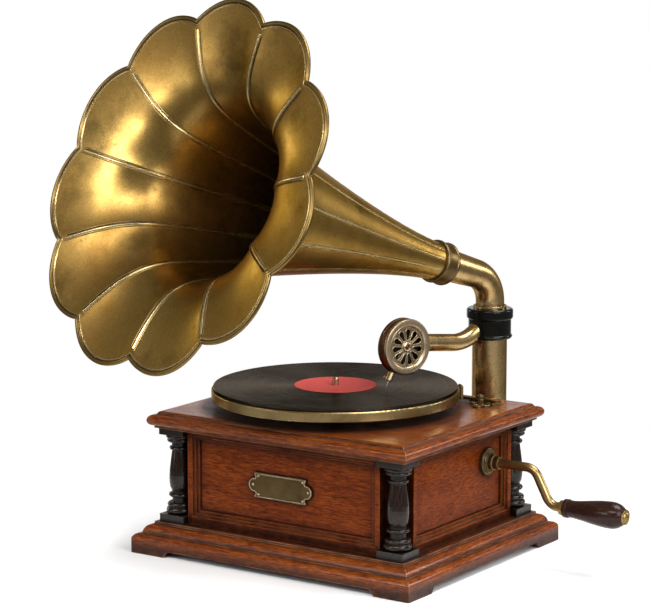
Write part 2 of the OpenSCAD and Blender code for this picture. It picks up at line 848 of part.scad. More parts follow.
module intermediate_gear() {
    color(bright_brass) place() translate([inter_x, inter_y, 0]) {
        translate([0, 0, lower_z0]) cylinder(r = pivot_r, h = motor_z1 - lower_z0);
        translate([0, 0, lower_z1 + end_float]) cylinder(r = 3, h = motor_z0 - lower_z1 - 2 * end_float);
        translate([0, 0, barrel_wheel_z - 1]) spur(inter_pinion_teeth, tooth, inter_to_barrel, tooth_w + 2, 1);
        translate([0, 0, inter_wheel_z])
            spur(wheel_teeth, tooth, spindle_to_inter + 180 + 180 / wheel_teeth, tooth_w, 1);
        translate([0, 0, inter_wheel_z - 3]) cylinder(r = 6, h = tooth_w + 6);
    }
}

module spindle_wheel() {
    color(bright_brass) place() translate([spindle_x, spindle_y, 0]) {
        translate([0, 0, inter_wheel_z - 1])
            spur(spindle_pinion_teeth, tooth, spindle_to_inter, tooth_w + 2, shaft_r - 1 + run_fit);
        translate([0, 0, spindle_wheel_z]) spur(wheel_teeth, tooth, 180, tooth_w, shaft_r - 1 + run_fit);
        translate([0, 0, inter_wheel_z + tooth_w + 1])
            tube(shaft_r + 1, shaft_r - 1 + run_fit, spindle_wheel_z - inter_wheel_z - tooth_w - 1);
    }
}

module governor() {
    arm_z = lower_z1 + 18;
    arm_h = 34;
    color(bright_brass) place() translate([governor_x, governor_y, 0]) {
        translate([0, 0, lower_z0]) cylinder(r = pivot_r, h = motor_z1 - lower_z0);
        translate([0, 0, lower_z1 + end_float]) cylinder(r = 2.6, h = motor_z0 - lower_z1 - 2 * end_float);
        translate([0, 0, spindle_wheel_z - 1])
            spur(governor_teeth, tooth, 180 / governor_teeth, tooth_w + 2, 1);
        translate([0, 0, arm_z - 4]) cylinder(r = 6, h = 4);
        translate([0, 0, arm_z + arm_h]) cylinder(r = 6, h = 4);
        translate([0, 0, arm_z - 7]) cylinder(r = 13, h = 2);
        for (i = [0 : 2]) rotate([0, 0, 120 * i]) {
            translate([4, -1.5, arm_z - 3]) rotate([0, 23, 0]) cube([0.8, 3, 19.4]);
            translate([4, -1.5, arm_z + arm_h + 3]) mirror([0, 0, 1]) rotate([0, 23, 0]) cube([0.8, 3, 19.4]);
            translate([12, 0, arm_z + arm_h / 2]) sphere(r = 4.6);
        }
    }
}

module barrel_drum() {
    wall = 2;
    color(bright_brass) place() translate([barrel_x, barrel_y, barrel_z0]) difference() {
        union() {
            cylinder(r = barrel_r, h = barrel_h);
            translate([0, 0, barrel_wheel_z - barrel_z0])
                spur(barrel_teeth, tooth, inter_to_barrel + 180 + 180 / barrel_teeth, tooth_w, 1);
        }
        translate([0, 0, wall]) cylinder(r = barrel_r - wall, h = barrel_h - 2 * wall);
        translate([0, 0, -1]) cylinder(r = arbor_r + run_fit, h = barrel_h + 2);
    }
}

function coil_point(r, turn) = [r * cos(360 * turn), r * sin(360 * turn)];

// Flat spiral band, hooked to the drum's wall
module mainspring() {
    turns = 5;
    strip = 1.2;
    r0 = arbor_r + 4;
    r1 = barrel_r - 2 - strip - run_fit;
    points = 16 * turns;
    color(steel) place() translate([barrel_x, barrel_y, barrel_z0 + 3])
        linear_extrude(height = barrel_h - 6) polygon(concat(
            [for (i = [0 : points]) coil_point(r0 + (r1 - r0) * i / points, turns * i / points)],
            [for (i = [points : -1 : 0]) coil_point(r0 + strip + (r1 - r0) * i / points, turns * i / points)]));
}

module winding_wheel() {
    disc_z = crown_root_z - crown_t;
    pitch_a = 360 / crown_teeth;
    color(steel) place() translate([barrel_x, barrel_y, 0]) {
        translate([0, 0, lower_z0]) cylinder(r = pivot_r + 1, h = motor_z1 - lower_z0);
        translate([0, 0, lower_z1 + end_float]) {
            cylinder(r = arbor_r, h = motor_z0 - lower_z1 - 2 * end_float);
            cylinder(r = arbor_r + 3, h = barrel_z0 - lower_z1 - 2 * end_float);
        }
        translate([0, 0, disc_z]) cylinder(r = crown_pitch + crown_face / 2, h = crown_t);
        for (i = [0 : crown_teeth - 1]) rotate([0, 0, (i + 0.5) * pitch_a])
            translate([crown_pitch, 0, disc_z]) rotate([90, 0, 90])
                linear_extrude(height = crown_face, center = true)
                    polygon([[-1.25, 0], [1.25, 0], [1.25, crown_t], [0.5, crown_tip_z - disc_z],
                        [-0.5, crown_tip_z - disc_z], [-1.25, crown_t]]);
    }
}

// Turntable

module on_spindle(z) { translate([spindle_x, spindle_y, z]) children(); }

module platter_section() {
    hub_r = 16;
    web = 4;
    difference() {
        union() {
            translate([0, platter_h - web]) square([platter_r - 2, web]);
            translate([platter_r - 5, 0]) square([4.2, platter_h]);
            translate([platter_r - 5, 1.2]) square([5, platter_h - 2.4]);
            translate([platter_r - 1.2, 1.2]) circle(r = 1.2);
            translate([platter_r - 1.2, platter_h - 1.2]) circle(r = 1.2);
            square([hub_r, platter_h]);
        }
        translate([0, -1]) square([shaft_r + run_fit / 2, platter_h + 2]);
    }
}

module platter() {
    color(antique_brass) place() on_spindle(platter_z0) rotate_extrude($fn = 96) platter_section();
}

module felt_mat() {
    color(felt_green) place() on_spindle(platter_z1) tube(record_r - 2, shaft_r + 0.5, felt_t);
}

module record() { color(shellac) place() on_spindle(felt_z1) tube(record_r, record_hole, record_t); }

module record_label() { color(label_red) place() on_spindle(record_z1) tube(label_r, record_hole, label_t); }

module spindle() {
    color(bright_brass) place() on_spindle(0) {
        translate([0, 0, spindle_foot_z]) cylinder(r = shaft_r - 1, h = platter_z0 - spindle_foot_z);
        translate([0, 0, spindle_wheel_z + tooth_w + 0.5])
            cylinder(r = shaft_r, h = platter_z1 - spindle_wheel_z - tooth_w - 0.5);
        translate([0, 0, board_top + 2 + end_float]) cylinder(r = 9, h = platter_gap - 2 - end_float);
        translate([0, 0, platter_z1 - eps])
            cylinder(r = spindle_r - spindle_neck, h = record_z1 + 0.5 - platter_z1 + 2 * eps);
        translate([0, 0, record_z1 + 0.5]) cylinder(r = spindle_r, h = spindle_rise - 2);
        translate([0, 0, record_z1 + spindle_rise - 1.5]) intersection() {
            translate([0, 0, -2.6]) sphere(r = norm([spindle_r, 2.6]));
            cylinder(r = spindle_r, h = 3);
        }
    }
}

// Brake beside the platter

brake_bearing = 46;
brake_reach = platter_r + 23;
brake_x = spindle_x + brake_reach * cos(brake_bearing - 6);
brake_y = spindle_y + brake_reach * sin(brake_bearing - 6);
brake_pin_r = 2.2;
brake_plate_t = 2;
brake_open = 20;
brake_lever_z = board_top + brake_plate_t + pass_gap;
brake_pad_r0 = platter_r + pass_gap;
brake_pad_t = 4;

module brake_pin_set(extra) {
    translate([brake_x, brake_y, board_top - 8]) cylinder(r = brake_pin_r + extra, h = 8 + eps);
}

module scroll(r) {
    difference() {
        circle(r = r);
        circle(r = r * 0.5);
    }
}

module brake_outline() {
    translate([-14, -3]) square([30, 6]);
    circle(r = 7);
    translate([-15, 3.5]) scroll(6.4);
    translate([-13, -5]) scroll(4.6);
    translate([16, 3]) scroll(6);
    translate([20, -4.4]) scroll(5);
    translate([4, 7.4]) scroll(4.6);
    translate([4, -7]) scroll(4.2);
}

module brake_plate() {
    color(antique_brass) place() {
        translate([brake_x, brake_y, board_top]) rotate([0, 0, brake_bearing - 100])
            linear_extrude(height = brake_plate_t) brake_outline();
        brake_pin_set(0);
        translate([brake_x, brake_y, board_top]) cylinder(r = brake_pin_r, h = brake_plate_t + 7);
        translate([brake_x, brake_y, brake_lever_z + 3 + pass_gap]) cylinder(r = 4, h = 2.2);
    }
}

// Lever from the pivot to the pad, with a finger tab at its tail
module brake_lever() {
    pad_x = spindle_x + (brake_pad_r0 + brake_pad_t + 2) * cos(brake_bearing);
    pad_y = spindle_y + (brake_pad_r0 + brake_pad_t + 2) * sin(brake_bearing);
    arm_l = norm([pad_x - brake_x, pad_y - brake_y]);
    arm_a = atan2(pad_y - brake_y, pad_x - brake_x);
    color(antique_brass) place() {
        difference() {
            translate([brake_x, brake_y, brake_lever_z]) {
                cylinder(r = 5.6, h = 3);
                rotate([0, 0, arm_a]) translate([-16, -2.2, 0]) cube([arm_l + 16, 4.4, 3]);
                rotate([0, 0, arm_a]) translate([-18, 0, 0]) cylinder(r = 4.6, h = 3);
            }
            translate([brake_x, brake_y, 0]) cylinder(r = brake_pin_r + run_fit, h = brake_lever_z + 20);
            brake_pad_shape(0.02);
        }
        difference() {
            translate([pad_x, pad_y, brake_lever_z]) rotate([0, 0, brake_bearing])
                translate([-2, -6, 0]) cube([2.4, 12, platter_z0 - brake_lever_z + 8]);
            brake_pad_shape(0.02);
        }
    }
}

module brake_pad_shape(extra) {
    translate([spindle_x, spindle_y, brake_lever_z + 3 + extra]) rotate([0, 0, brake_bearing])
        translate([brake_pad_r0 + 0.5, -5.5, 0]) cube([brake_pad_t - 0.5, 11, platter_z0 - brake_lever_z + 4]);
}

module brake_pad() { color([0.25, 0.16, 0.1]) place() brake_pad_shape(0.05); }

// Pillar behind the cabinet

module on_pillar(z) { translate([pillar_x, pillar_y, z]) children(); }

module pillar_tube() {
    color(antique_brass) place() on_pillar(pillar_z0)
        tube(pillar_r, pillar_r - pillar_wall, pillar_z1 - pillar_z0);
}

bracket_screw_r = 2.4;
bracket_screw_spots = [for (i = [-1, 1], z = [bracket_z0 + 9, bracket_z1 - 9]) [i * (bracket_w / 2 - 6), z]];

module bracket_screw_set(extra) {
    for (spot = bracket_screw_spots) translate([pillar_x + spot[0], bracket_face_y - panel_t + 1, spot[1]])
        rotate([-90, 0, 0]) {
            cylinder(r = bracket_screw_r + extra, h = panel_t + bracket_t - 1 + eps);
            if (extra == 0) translate([0, 0, panel_t + bracket_t - 1]) intersection() {
                translate([0, 0, -3]) sphere(r = 6);
                cylinder(r = 6, h = 4);
            }
        }
}

module bracket_screws() { color(steel) place() bracket_screw_set(0); }

// Back plate with two clamps and a closed cup that the pillar stands in
module rear_bracket() {
    ring_w = 5;
    ring_h = 14;
    color(blackened) place() difference() {
        union() {
            translate([pillar_x - bracket_w / 2, bracket_face_y, bracket_z0])
                cube([bracket_w, bracket_t, bracket_z1 - bracket_z0]);
            for (z = [bracket_z0, bracket_z1 - ring_h]) {
                on_pillar(z) cylinder(r = pillar_r + ring_w, h = ring_h);
                translate([pillar_x - 11, bracket_face_y, z]) cube([22, pillar_y - bracket_face_y, ring_h]);
            }
            on_pillar(bracket_z0 - 4) cylinder(r = pillar_r + ring_w, h = 4 + eps);
            translate([pillar_x - 3, bracket_face_y, bracket_z0])
                cube([6, pillar_y - bracket_face_y - pillar_r, bracket_z1 - bracket_z0]);
        }
        on_pillar(pillar_z0) cylinder(r = pillar_r + run_fit / 2, h = pillar_z1);
        bracket_screw_set(run_fit);
    }
}

// Sleeve that the collar turns on; a window lets the sound through over the arm's swing
module bearing_sleeve() {
    window = arm_swing_in + arm_swing_out + 2 * asin(arm_bore / sleeve_bore) + 6;
    window_mid = arm_heading + (arm_swing_out - arm_swing_in) / 2;
    color(bright_brass) place() on_pillar(0) difference() {
        translate([0, 0, sleeve_z0]) tube(sleeve_r, sleeve_bore, socket_z1 - sleeve_z0);
        rotate([0, 0, window_mid - window / 2]) translate([0, 0, collar_z0 + 1])
            rotate_extrude(angle = window) translate([sleeve_bore - 1, 0])
                square([sleeve_r - sleeve_bore + 2, collar_h - 2]);
    }
}

module socket_section() {
    translate([sleeve_r + run_fit / 2, 0]) square([collar_r - sleeve_r - run_fit / 2, socket_h]);
    translate([collar_r - 0.6, socket_h - 2.6]) circle(r = 2.6);
    translate([collar_r - 0.6, 2.6]) circle(r = 2.6);
    translate([collar_r - 1, 2.6]) square([3, socket_h - 5.2]);
}

module horn_socket_ring() { color(blackened) place() on_pillar(socket_z0) rotate_extrude() socket_section(); }

// Tone arm

module in_arm_plane() { translate([pillar_x, pillar_y, 0]) rotate([0, 0, arm_heading]) children(); }

module arm_path(r) {
    translate([port_u, 0, port_z]) rotate([0, 90 + arm_fall, 0])
        cylinder(r = r + sleeve_step, h = arm_lead + pipe_lap);
    translate([arm_bend_u + arm_bend_r * sin(arm_fall), 0, arm_bend_z + arm_bend_r * cos(arm_fall)])
        rotate([90, 0, 0]) rotate([0, 0, -90 - arm_fall])
            rotate_extrude(angle = arm_fall + arm_climb) translate([arm_bend_r, 0]) circle(r = r);
    translate([run_u, 0, run_z]) rotate([0, 90 - arm_climb, 0]) translate([0, 0, -pipe_lap])
        cylinder(r = r + sleeve_step, h = arm_run + pipe_lap);
}

module arm_collar() {
    color(blackened) place() difference() {
        on_pillar(collar_z0) rotate_extrude() difference() {
            union() {
                square([collar_r, collar_h]);
                translate([collar_r - 1, 2.2]) circle(r = 2.2);
            }
            translate([0, -1]) square([collar_bore, collar_h + 2]);
        }
        in_arm_plane() arm_path(arm_r + run_fit);
    }
}

module tone_arm() {
    color(antique_brass) place() difference() {
        in_arm_plane() {
            arm_path(arm_r);
            translate([arm_end_u, 0, arm_end_z]) rotate([0, 90 - arm_climb, 0])
                translate([0, 0, -4]) cylinder(r = arm_r + 0.7, h = 4);
        }
        in_arm_plane() {
            arm_path(arm_bore);
            translate([arm_end_u, 0, arm_end_z]) rotate([0, 90 - arm_climb, 0])
                translate([0, 0, -5]) cylinder(r = arm_bore, h = 10);
        }
        on_pillar(collar_z0 - collar_h) cylinder(r = pillar_r + 2 * pass_gap, h = 3 * collar_h);
    }
}

// Sound box on its crook

module at_arm_end() {
    in_arm_plane() translate([arm_end_u, 0, arm_end_z]) rotate([0, -arm_climb, 0]) children();
}

module at_sound_box() {
    at_arm_end() translate([crook_l, box_off, 0]) rotate([-90, 0, 0]) rotate([0, 0, arm_climb]) children();
}

module crook_path(r, seat) {
    bend_x = crook_l - crook_bend_r;
    translate([-seat, 0, 0]) rotate([0, 90, 0]) cylinder(r = r, h = seat + bend_x);
    translate([bend_x, crook_bend_r, 0]) rotate([0, 0, -90])
        rotate_extrude(angle = 90) translate([crook_bend_r, 0]) circle(r = r);
    translate([crook_l, crook_bend_r, 0]) rotate([-90, 0, 0])
        cylinder(r = r, h = box_off - box_t / 2 - crook_bend_r + 2);
}

module sound_box_crook() {
    color(antique_brass) place() at_arm_end() difference() {
        union() {
            crook_path(crook_r, crook_seat);
            translate([pass_gap, 0, 0]) rotate([0, 90, 0]) cylinder(r = arm_r, h = 3);
            translate([crook_l, box_off - box_t / 2 - 3, 0]) rotate([-90, 0, 0])
                cylinder(r = crook_r + 4, h = 3);
        }
        crook_path(crook_bore, crook_seat + 1);
        translate([crook_l, box_off - box_t / 2, 0]) rotate([-90, 0, 0]) cylinder(r = crook_bore, h = 4);
    }
}

module sound_box_shell() {
    color([0.26, 0.1, 0.07]) place() at_sound_box() difference() {
        union() {
            translate([0, 0, -box_t / 2]) cylinder(r = box_r - 1.6, h = box_t - 3);
            translate([0, 0, -box_t / 2 + 2.6]) rotate_extrude() translate([box_r - 2.6, 0]) circle(r = 2.6);
            translate([0, 0, -box_t / 2 + 6]) cylinder(r = box_r - 0.5, h = box_t - 9.5);
        }
        translate([0, 0, -box_t / 2 + 2.5]) cylinder(r = box_in_r, h = box_t);
        translate([0, 0, -box_t]) cylinder(r = crook_r + run_fit, h = box_t);
        chuck_bar(run_fit);
    }
}

gasket_z = -box_t / 2 + 2.5;
gasket_t = 2.4;
diaphragm_t = 0.5;

module sound_box_gaskets() {
    color([0.3, 0.12, 0.09]) place() at_sound_box()
        for (z = [gasket_z, gasket_z + gasket_t + diaphragm_t]) translate([0, 0, z])
            difference() {
                tube(box_in_r - run_fit, box_in_r - 4, gasket_t);
                translate([0, 0, -z]) chuck_bar(0.3);
            }
}

module sound_box_diaphragm() {
    color([0.75, 0.72, 0.62]) place() at_sound_box() translate([0, 0, gasket_z + gasket_t])
        tube(box_in_r - run_fit, 1.2, diaphragm_t);
}

face_z = box_t / 2 - 3;

// Slot with round ends that widens towards the rim
module teardrop() {
    inner = 7.2;
    outer = grille_r - 4;
    outer_r = 1.9;
    inner_r = 0.9;
    translate([inner, 0]) circle(r = inner_r);
    translate([outer, 0]) circle(r = outer_r);
    polygon([[inner, -inner_r], [outer, -outer_r], [outer, outer_r], [inner, inner_r]]);
}

module sound_box_face() {
    color(bright_brass) place() at_sound_box() translate([0, 0, face_z]) {
        rotate_extrude() {
            difference() {
                union() {
                    translate([grille_r, 0]) square([box_r - 1.8 - grille_r, 3.6]);
                    translate([box_r - 1.8, 1.8]) circle(r = 1.8);
                }
                translate([grille_r - 2, 4.6]) circle(r = 2.6);
            }
        }
        linear_extrude(height = 1.4) difference() {
            circle(r = grille_r + 0.4);
            for (i = [0 : slot_count - 1]) rotate([0, 0, 360 / slot_count * (i + 0.25)]) teardrop();
        }
        cylinder(r = 4.6, h = 2.4);
        translate([0, 0, 2.4]) intersection() {
            translate([0, 0, -2]) sphere(r = 4);
            cylinder(r = 5, h = 3);
        }
    }
}

bar_z = gasket_z + gasket_t + diaphragm_t + gasket_t / 2;

module along_chuck(r) { rotate([0, 0, chuck_angle]) translate([r, 0, bar_z]) rotate([0, 90, 0]) children(); }

module chuck_bar(extra) { along_chuck(box_in_r - 6) cylinder(r = 1.6 + extra, h = 14); }

// Lever from the middle of the diaphragm to the needle's chuck below the rim
module stylus_bar() {
    color(antique_brass) place() at_sound_box() difference() {
        union() {
            translate([0, 0, gasket_z + gasket_t - 0.6]) cylinder(r = 1.2 - run_fit, h = 2.6);
            along_chuck(0) cylinder(r = 1.1, h = box_in_r + 6);
            along_chuck(box_in_r + pass_gap) cylinder(r = 1.6, h = 6);
            along_chuck(box_r + 0.6) cylinder(r = chuck_r, h = chuck_l);
        }
        needle_shape(run_fit);
        screw_shape(run_fit);
    }
}

needle_seat = 5;

module at_chuck_tip() { along_chuck(box_r + 0.6 + chuck_l) rotate([-needle_lean, 0, 0]) children(); }

module needle_shape(extra) {
    at_chuck_tip() {
        translate([0, 0, -needle_seat]) cylinder(r = needle_r + extra, h = needle_l - needle_point);
        translate([0, 0, needle_l - needle_seat - needle_point])
            cylinder(r1 = needle_r + extra, r2 = 0.15, h = needle_point);
    }
}

module needle() { color(steel) place() at_sound_box() needle_shape(0); }

module at_screw() { along_chuck(box_r + 0.6 + chuck_l - 3) rotate([0, 90, 0]) children(); }

module screw_shape(extra) {
    at_screw() translate([0, 0, needle_r + 1 - extra]) cylinder(r = 1 + extra, h = chuck_r - needle_r);
}

module needle_screw() {
    color(bright_brass) place() at_sound_box() {
        screw_shape(0);
        at_screw() translate([0, 0, chuck_r + pass_gap]) {
            cylinder(r = 2.6, h = 2.6);
            translate([0, 0, 2.6]) cylinder(r1 = 2.6, r2 = 1.8, h = 0.8);
        }
    }
}

// Horn

module at_elbow() { translate([pillar_x, pillar_y, elbow_z]) rotate([0, 0, horn_heading]) children(); }
module at_horn() { at_elbow() rotate([0, elbow_turn, 0]) children(); }

module elbow_path(r, end_r) {
    at_elbow() translate([elbow_bend_r, 0, -elbow_tangent]) rotate([90, 0, 0]) rotate([0, 0, 180 - elbow_turn])
        rotate_extrude(angle = elbow_turn) translate([elbow_bend_r, 0]) circle(r = r);
    at_horn() translate([0, 0, elbow_tangent - pipe_lap])
        cylinder(r1 = r + sleeve_step, r2 = end_r, h = neck_l + 7 - elbow_tangent + pipe_lap);
}

module horn_elbow() {
    lip_z = socket_z1 + pass_gap;
    color(antique_brass) place() difference() {
        union() {
            elbow_path(elbow_r, elbow_end_r);
            on_pillar(lip_z)
                cylinder(r = elbow_r + sleeve_step, h = elbow_z - elbow_tangent - lip_z + pipe_lap);
            on_pillar(lip_z) cylinder(r = elbow_r + 2.4, h = 2.4);
            on_pillar(socket_z0 + 1) cylinder(r = spigot_r, h = lip_z - socket_z0);
        }
        elbow_path(elbow_r - elbow_wall, elbow_end_r - elbow_wall);
        on_pillar(socket_z0)
            cylinder(r = spigot_r - elbow_wall, h = elbow_z - elbow_tangent - socket_z0 + pipe_lap);
        at_horn() translate([0, 0, neck_l + 6.9]) cylinder(r = elbow_end_r + 1, h = 4);
    }
}

module horn_ferrule() {
    color(antique_brass) place() at_horn() difference() {
        union() {
            translate([0, 0, neck_l]) cylinder(r = ferrule_r - 0.8, h = ferrule_l);
            for (z = [1.8, ferrule_l - 1.8]) translate([0, 0, neck_l + z])
                rotate_extrude() translate([ferrule_r - 1.8, 0]) circle(r = 1.8);
        }
        translate([0, 0, neck_l - 1]) cylinder(r = elbow_end_r + run_fit, h = 9);
        translate([0, 0, bell_s0 - run_fit]) cylinder(r = throat_r + run_fit, h = ferrule_l);
        translate([0, 0, neck_l - 1]) cylinder(r = elbow_end_r - elbow_wall, h = ferrule_l + 2);
    }
}

// Share of the bell's spread at a share of its length, and the slope there
lip_start = exp(-1 / lip_share);
bell_l = horn_l - bell_s1;
bell_spread = notch_r - throat_r;
function lip_at(t) = exp(-(1 - t) / lip_share);
function flare_at(t) =
    slow_share * pow(t, slow_power) + (1 - slow_share) * (lip_at(t) - lip_start) / (1 - lip_start);
function flare_rise(t) =
    slow_share * slow_power * pow(t, slow_power - 1) + (1 - slow_share) * lip_at(t) / lip_share / (1 - lip_start);
function bell_slope(t) = atan(flare_rise(t) * bell_spread / bell_l);

// Share across a petal, from -1 at one seam to 1 at the next, for each point round the ring
petal_shares = [-1, -1 + seam_share, -0.55, 0, 0.55, 1 - seam_share];
ring_points = petal_count * petal_steps;

function share_of(k) = petal_shares[k % petal_steps];
function angle_of(k) = (floor(k / petal_steps) + share_of(k) / 2) * 360 / petal_count + 180;

// Ring of points at a share of the bell's length, moved off the sheet and out along it by distances
function bell_ring(t, off, out, ridge) =
    let (spread = throat_r + bell_spread * flare_at(t),
        bulge = petal_rise * pow(t, bulge_power),
        slope = bell_slope(t),
        bend = mouth_bend * t * t)
    [for (k = [0 : ring_points - 1])
        let (u = share_of(k),
            seam = (k % petal_steps == 0) ? ridge * min(1, 8 * t) : 0,
            lift = off + seam,
            r = spread + bulge * (1 - u * u) + lift * cos(slope) + out * sin(slope),
            a = angle_of(k),
            x = r * cos(a),
            z = out * cos(slope) - lift * sin(slope))
        [x * cos(bend) - z * sin(bend), r * sin(a), bell_s1 + bell_l * t + x * sin(bend) + z * cos(bend)]];

function plain_ring(r, s) = [for (k = [0 : ring_points - 1]) [r * cos(angle_of(k)), r * sin(angle_of(k)), s]];

ring_shares = [for (i = [0 : bell_rings]) 1 - pow(1 - i / bell_rings, 1.7)];
roll_turns = [-15, 35, 90, 145, 195];

bell_loops = concat(
    [plain_ring(throat_r, bell_s0)],
    [for (t = ring_shares) bell_ring(t, 0, 0, seam_h)],
    [for (turn = roll_turns)
        bell_ring(1, roll_r * cos(turn) - bell_wall / 2, roll_r * (1 + sin(turn)), 0)],
    [for (i = [bell_rings : -1 : 0]) bell_ring(ring_shares[i], -bell_wall, 0, -seam_h)],
    [plain_ring(throat_r - bell_wall, bell_s0)]);

function strip_faces(row, next) = [for (k = [0 : ring_points - 1])
    let (a = row * ring_points + k, b = row * ring_points + (k + 1) % ring_points,
        c = next * ring_points + (k + 1) % ring_points, d = next * ring_points + k)
    each [[a, c, b], [a, d, c]]];

module horn_bell() {
    loops = len(bell_loops);
    color(antique_brass) place() at_horn()
        polyhedron(points = [for (ring = bell_loops) each ring],
            faces = [for (i = [0 : loops - 1]) each strip_faces(i, (i + 1) % loops)], convexity = 8);
}

base_moulding();
bottom_board();
front_frame();
back_frame();
left_frame();
right_frame();
front_panel();
back_panel();
left_panel();
right_panel();
corner_posts();
column_front_left();
column_front_right();
column_back_left();
column_back_right();
column_blocks();
top_board();
name_plate();
name_plate_pins();
crank_escutcheon();
motor_plate();
motor_posts();
lower_plate();
motor_bolts();
spindle_bearing();
rear_bracket();
bracket_screws();
pillar_tube();
bearing_sleeve();
horn_socket_ring();
brake_plate();
arm_collar();
tone_arm();
sound_box_crook();
sound_box_shell();
sound_box_face();
sound_box_diaphragm();
sound_box_gaskets();
stylus_bar();
needle();
needle_screw();
horn_bell();
horn_ferrule();
horn_elbow();
platter();
felt_mat();
record();
record_label();
spindle();
spindle_wheel();
intermediate_gear();
barrel_drum();
mainspring();
governor();
winding_wheel();
crank_rod();
crank_pinion();
crank_handle();
brake_lever();
brake_pad();
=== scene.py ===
"""Dresses the horn gramophone: a finish for every solid, and the fine pieces that sit on them."""

import json
import logging
import math
from dataclasses import dataclass
from enum import Enum

import bmesh
import bpy
from mathutils import Matrix, Vector


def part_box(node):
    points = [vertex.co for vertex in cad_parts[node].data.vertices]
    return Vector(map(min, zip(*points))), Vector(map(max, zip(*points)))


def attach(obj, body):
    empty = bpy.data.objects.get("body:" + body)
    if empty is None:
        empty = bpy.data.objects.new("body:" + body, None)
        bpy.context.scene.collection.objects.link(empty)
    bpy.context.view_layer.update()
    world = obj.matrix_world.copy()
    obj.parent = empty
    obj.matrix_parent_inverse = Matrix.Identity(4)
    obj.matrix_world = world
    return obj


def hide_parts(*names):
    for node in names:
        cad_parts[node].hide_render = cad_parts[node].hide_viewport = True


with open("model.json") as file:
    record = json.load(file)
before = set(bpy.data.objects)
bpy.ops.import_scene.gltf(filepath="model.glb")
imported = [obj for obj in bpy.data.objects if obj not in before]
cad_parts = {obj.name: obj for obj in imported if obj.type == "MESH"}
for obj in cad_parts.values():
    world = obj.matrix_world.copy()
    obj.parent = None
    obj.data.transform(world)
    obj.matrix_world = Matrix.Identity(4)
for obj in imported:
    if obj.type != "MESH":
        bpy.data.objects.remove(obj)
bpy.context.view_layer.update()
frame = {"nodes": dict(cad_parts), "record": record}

LOG = logging.getLogger("gramophone")
MM = 0.001
Pair = tuple[float, float]
Triple = tuple[float, float, float]
Colour = Triple
Path = tuple[list[Vector], bool]
Socket = bpy.types.NodeSocket
Feed = Socket | float | tuple


class Grain(Enum):
    """Way that the grain of a wooden piece runs, as turns about x, y and z in degrees."""

    ALONG_X = (0.0, 0.0, 0.0)
    ALONG_Y = (0.0, 0.0, 90.0)
    UPRIGHT = (0.0, 90.0, 0.0)


class Shading(Enum):
    """Angle up to which a new piece's faces are shaded as one, in degrees."""

    SMOOTH = 180.0
    CREASED = 32.0


class Mixing(Enum):
    """What a Mix node mixes: its data type, and the numbers of its two inputs and its output."""

    COLOUR = ("RGBA", 6, 7, 2)
    VECTOR = ("VECTOR", 4, 5, 1)


# Nodes and shared effects


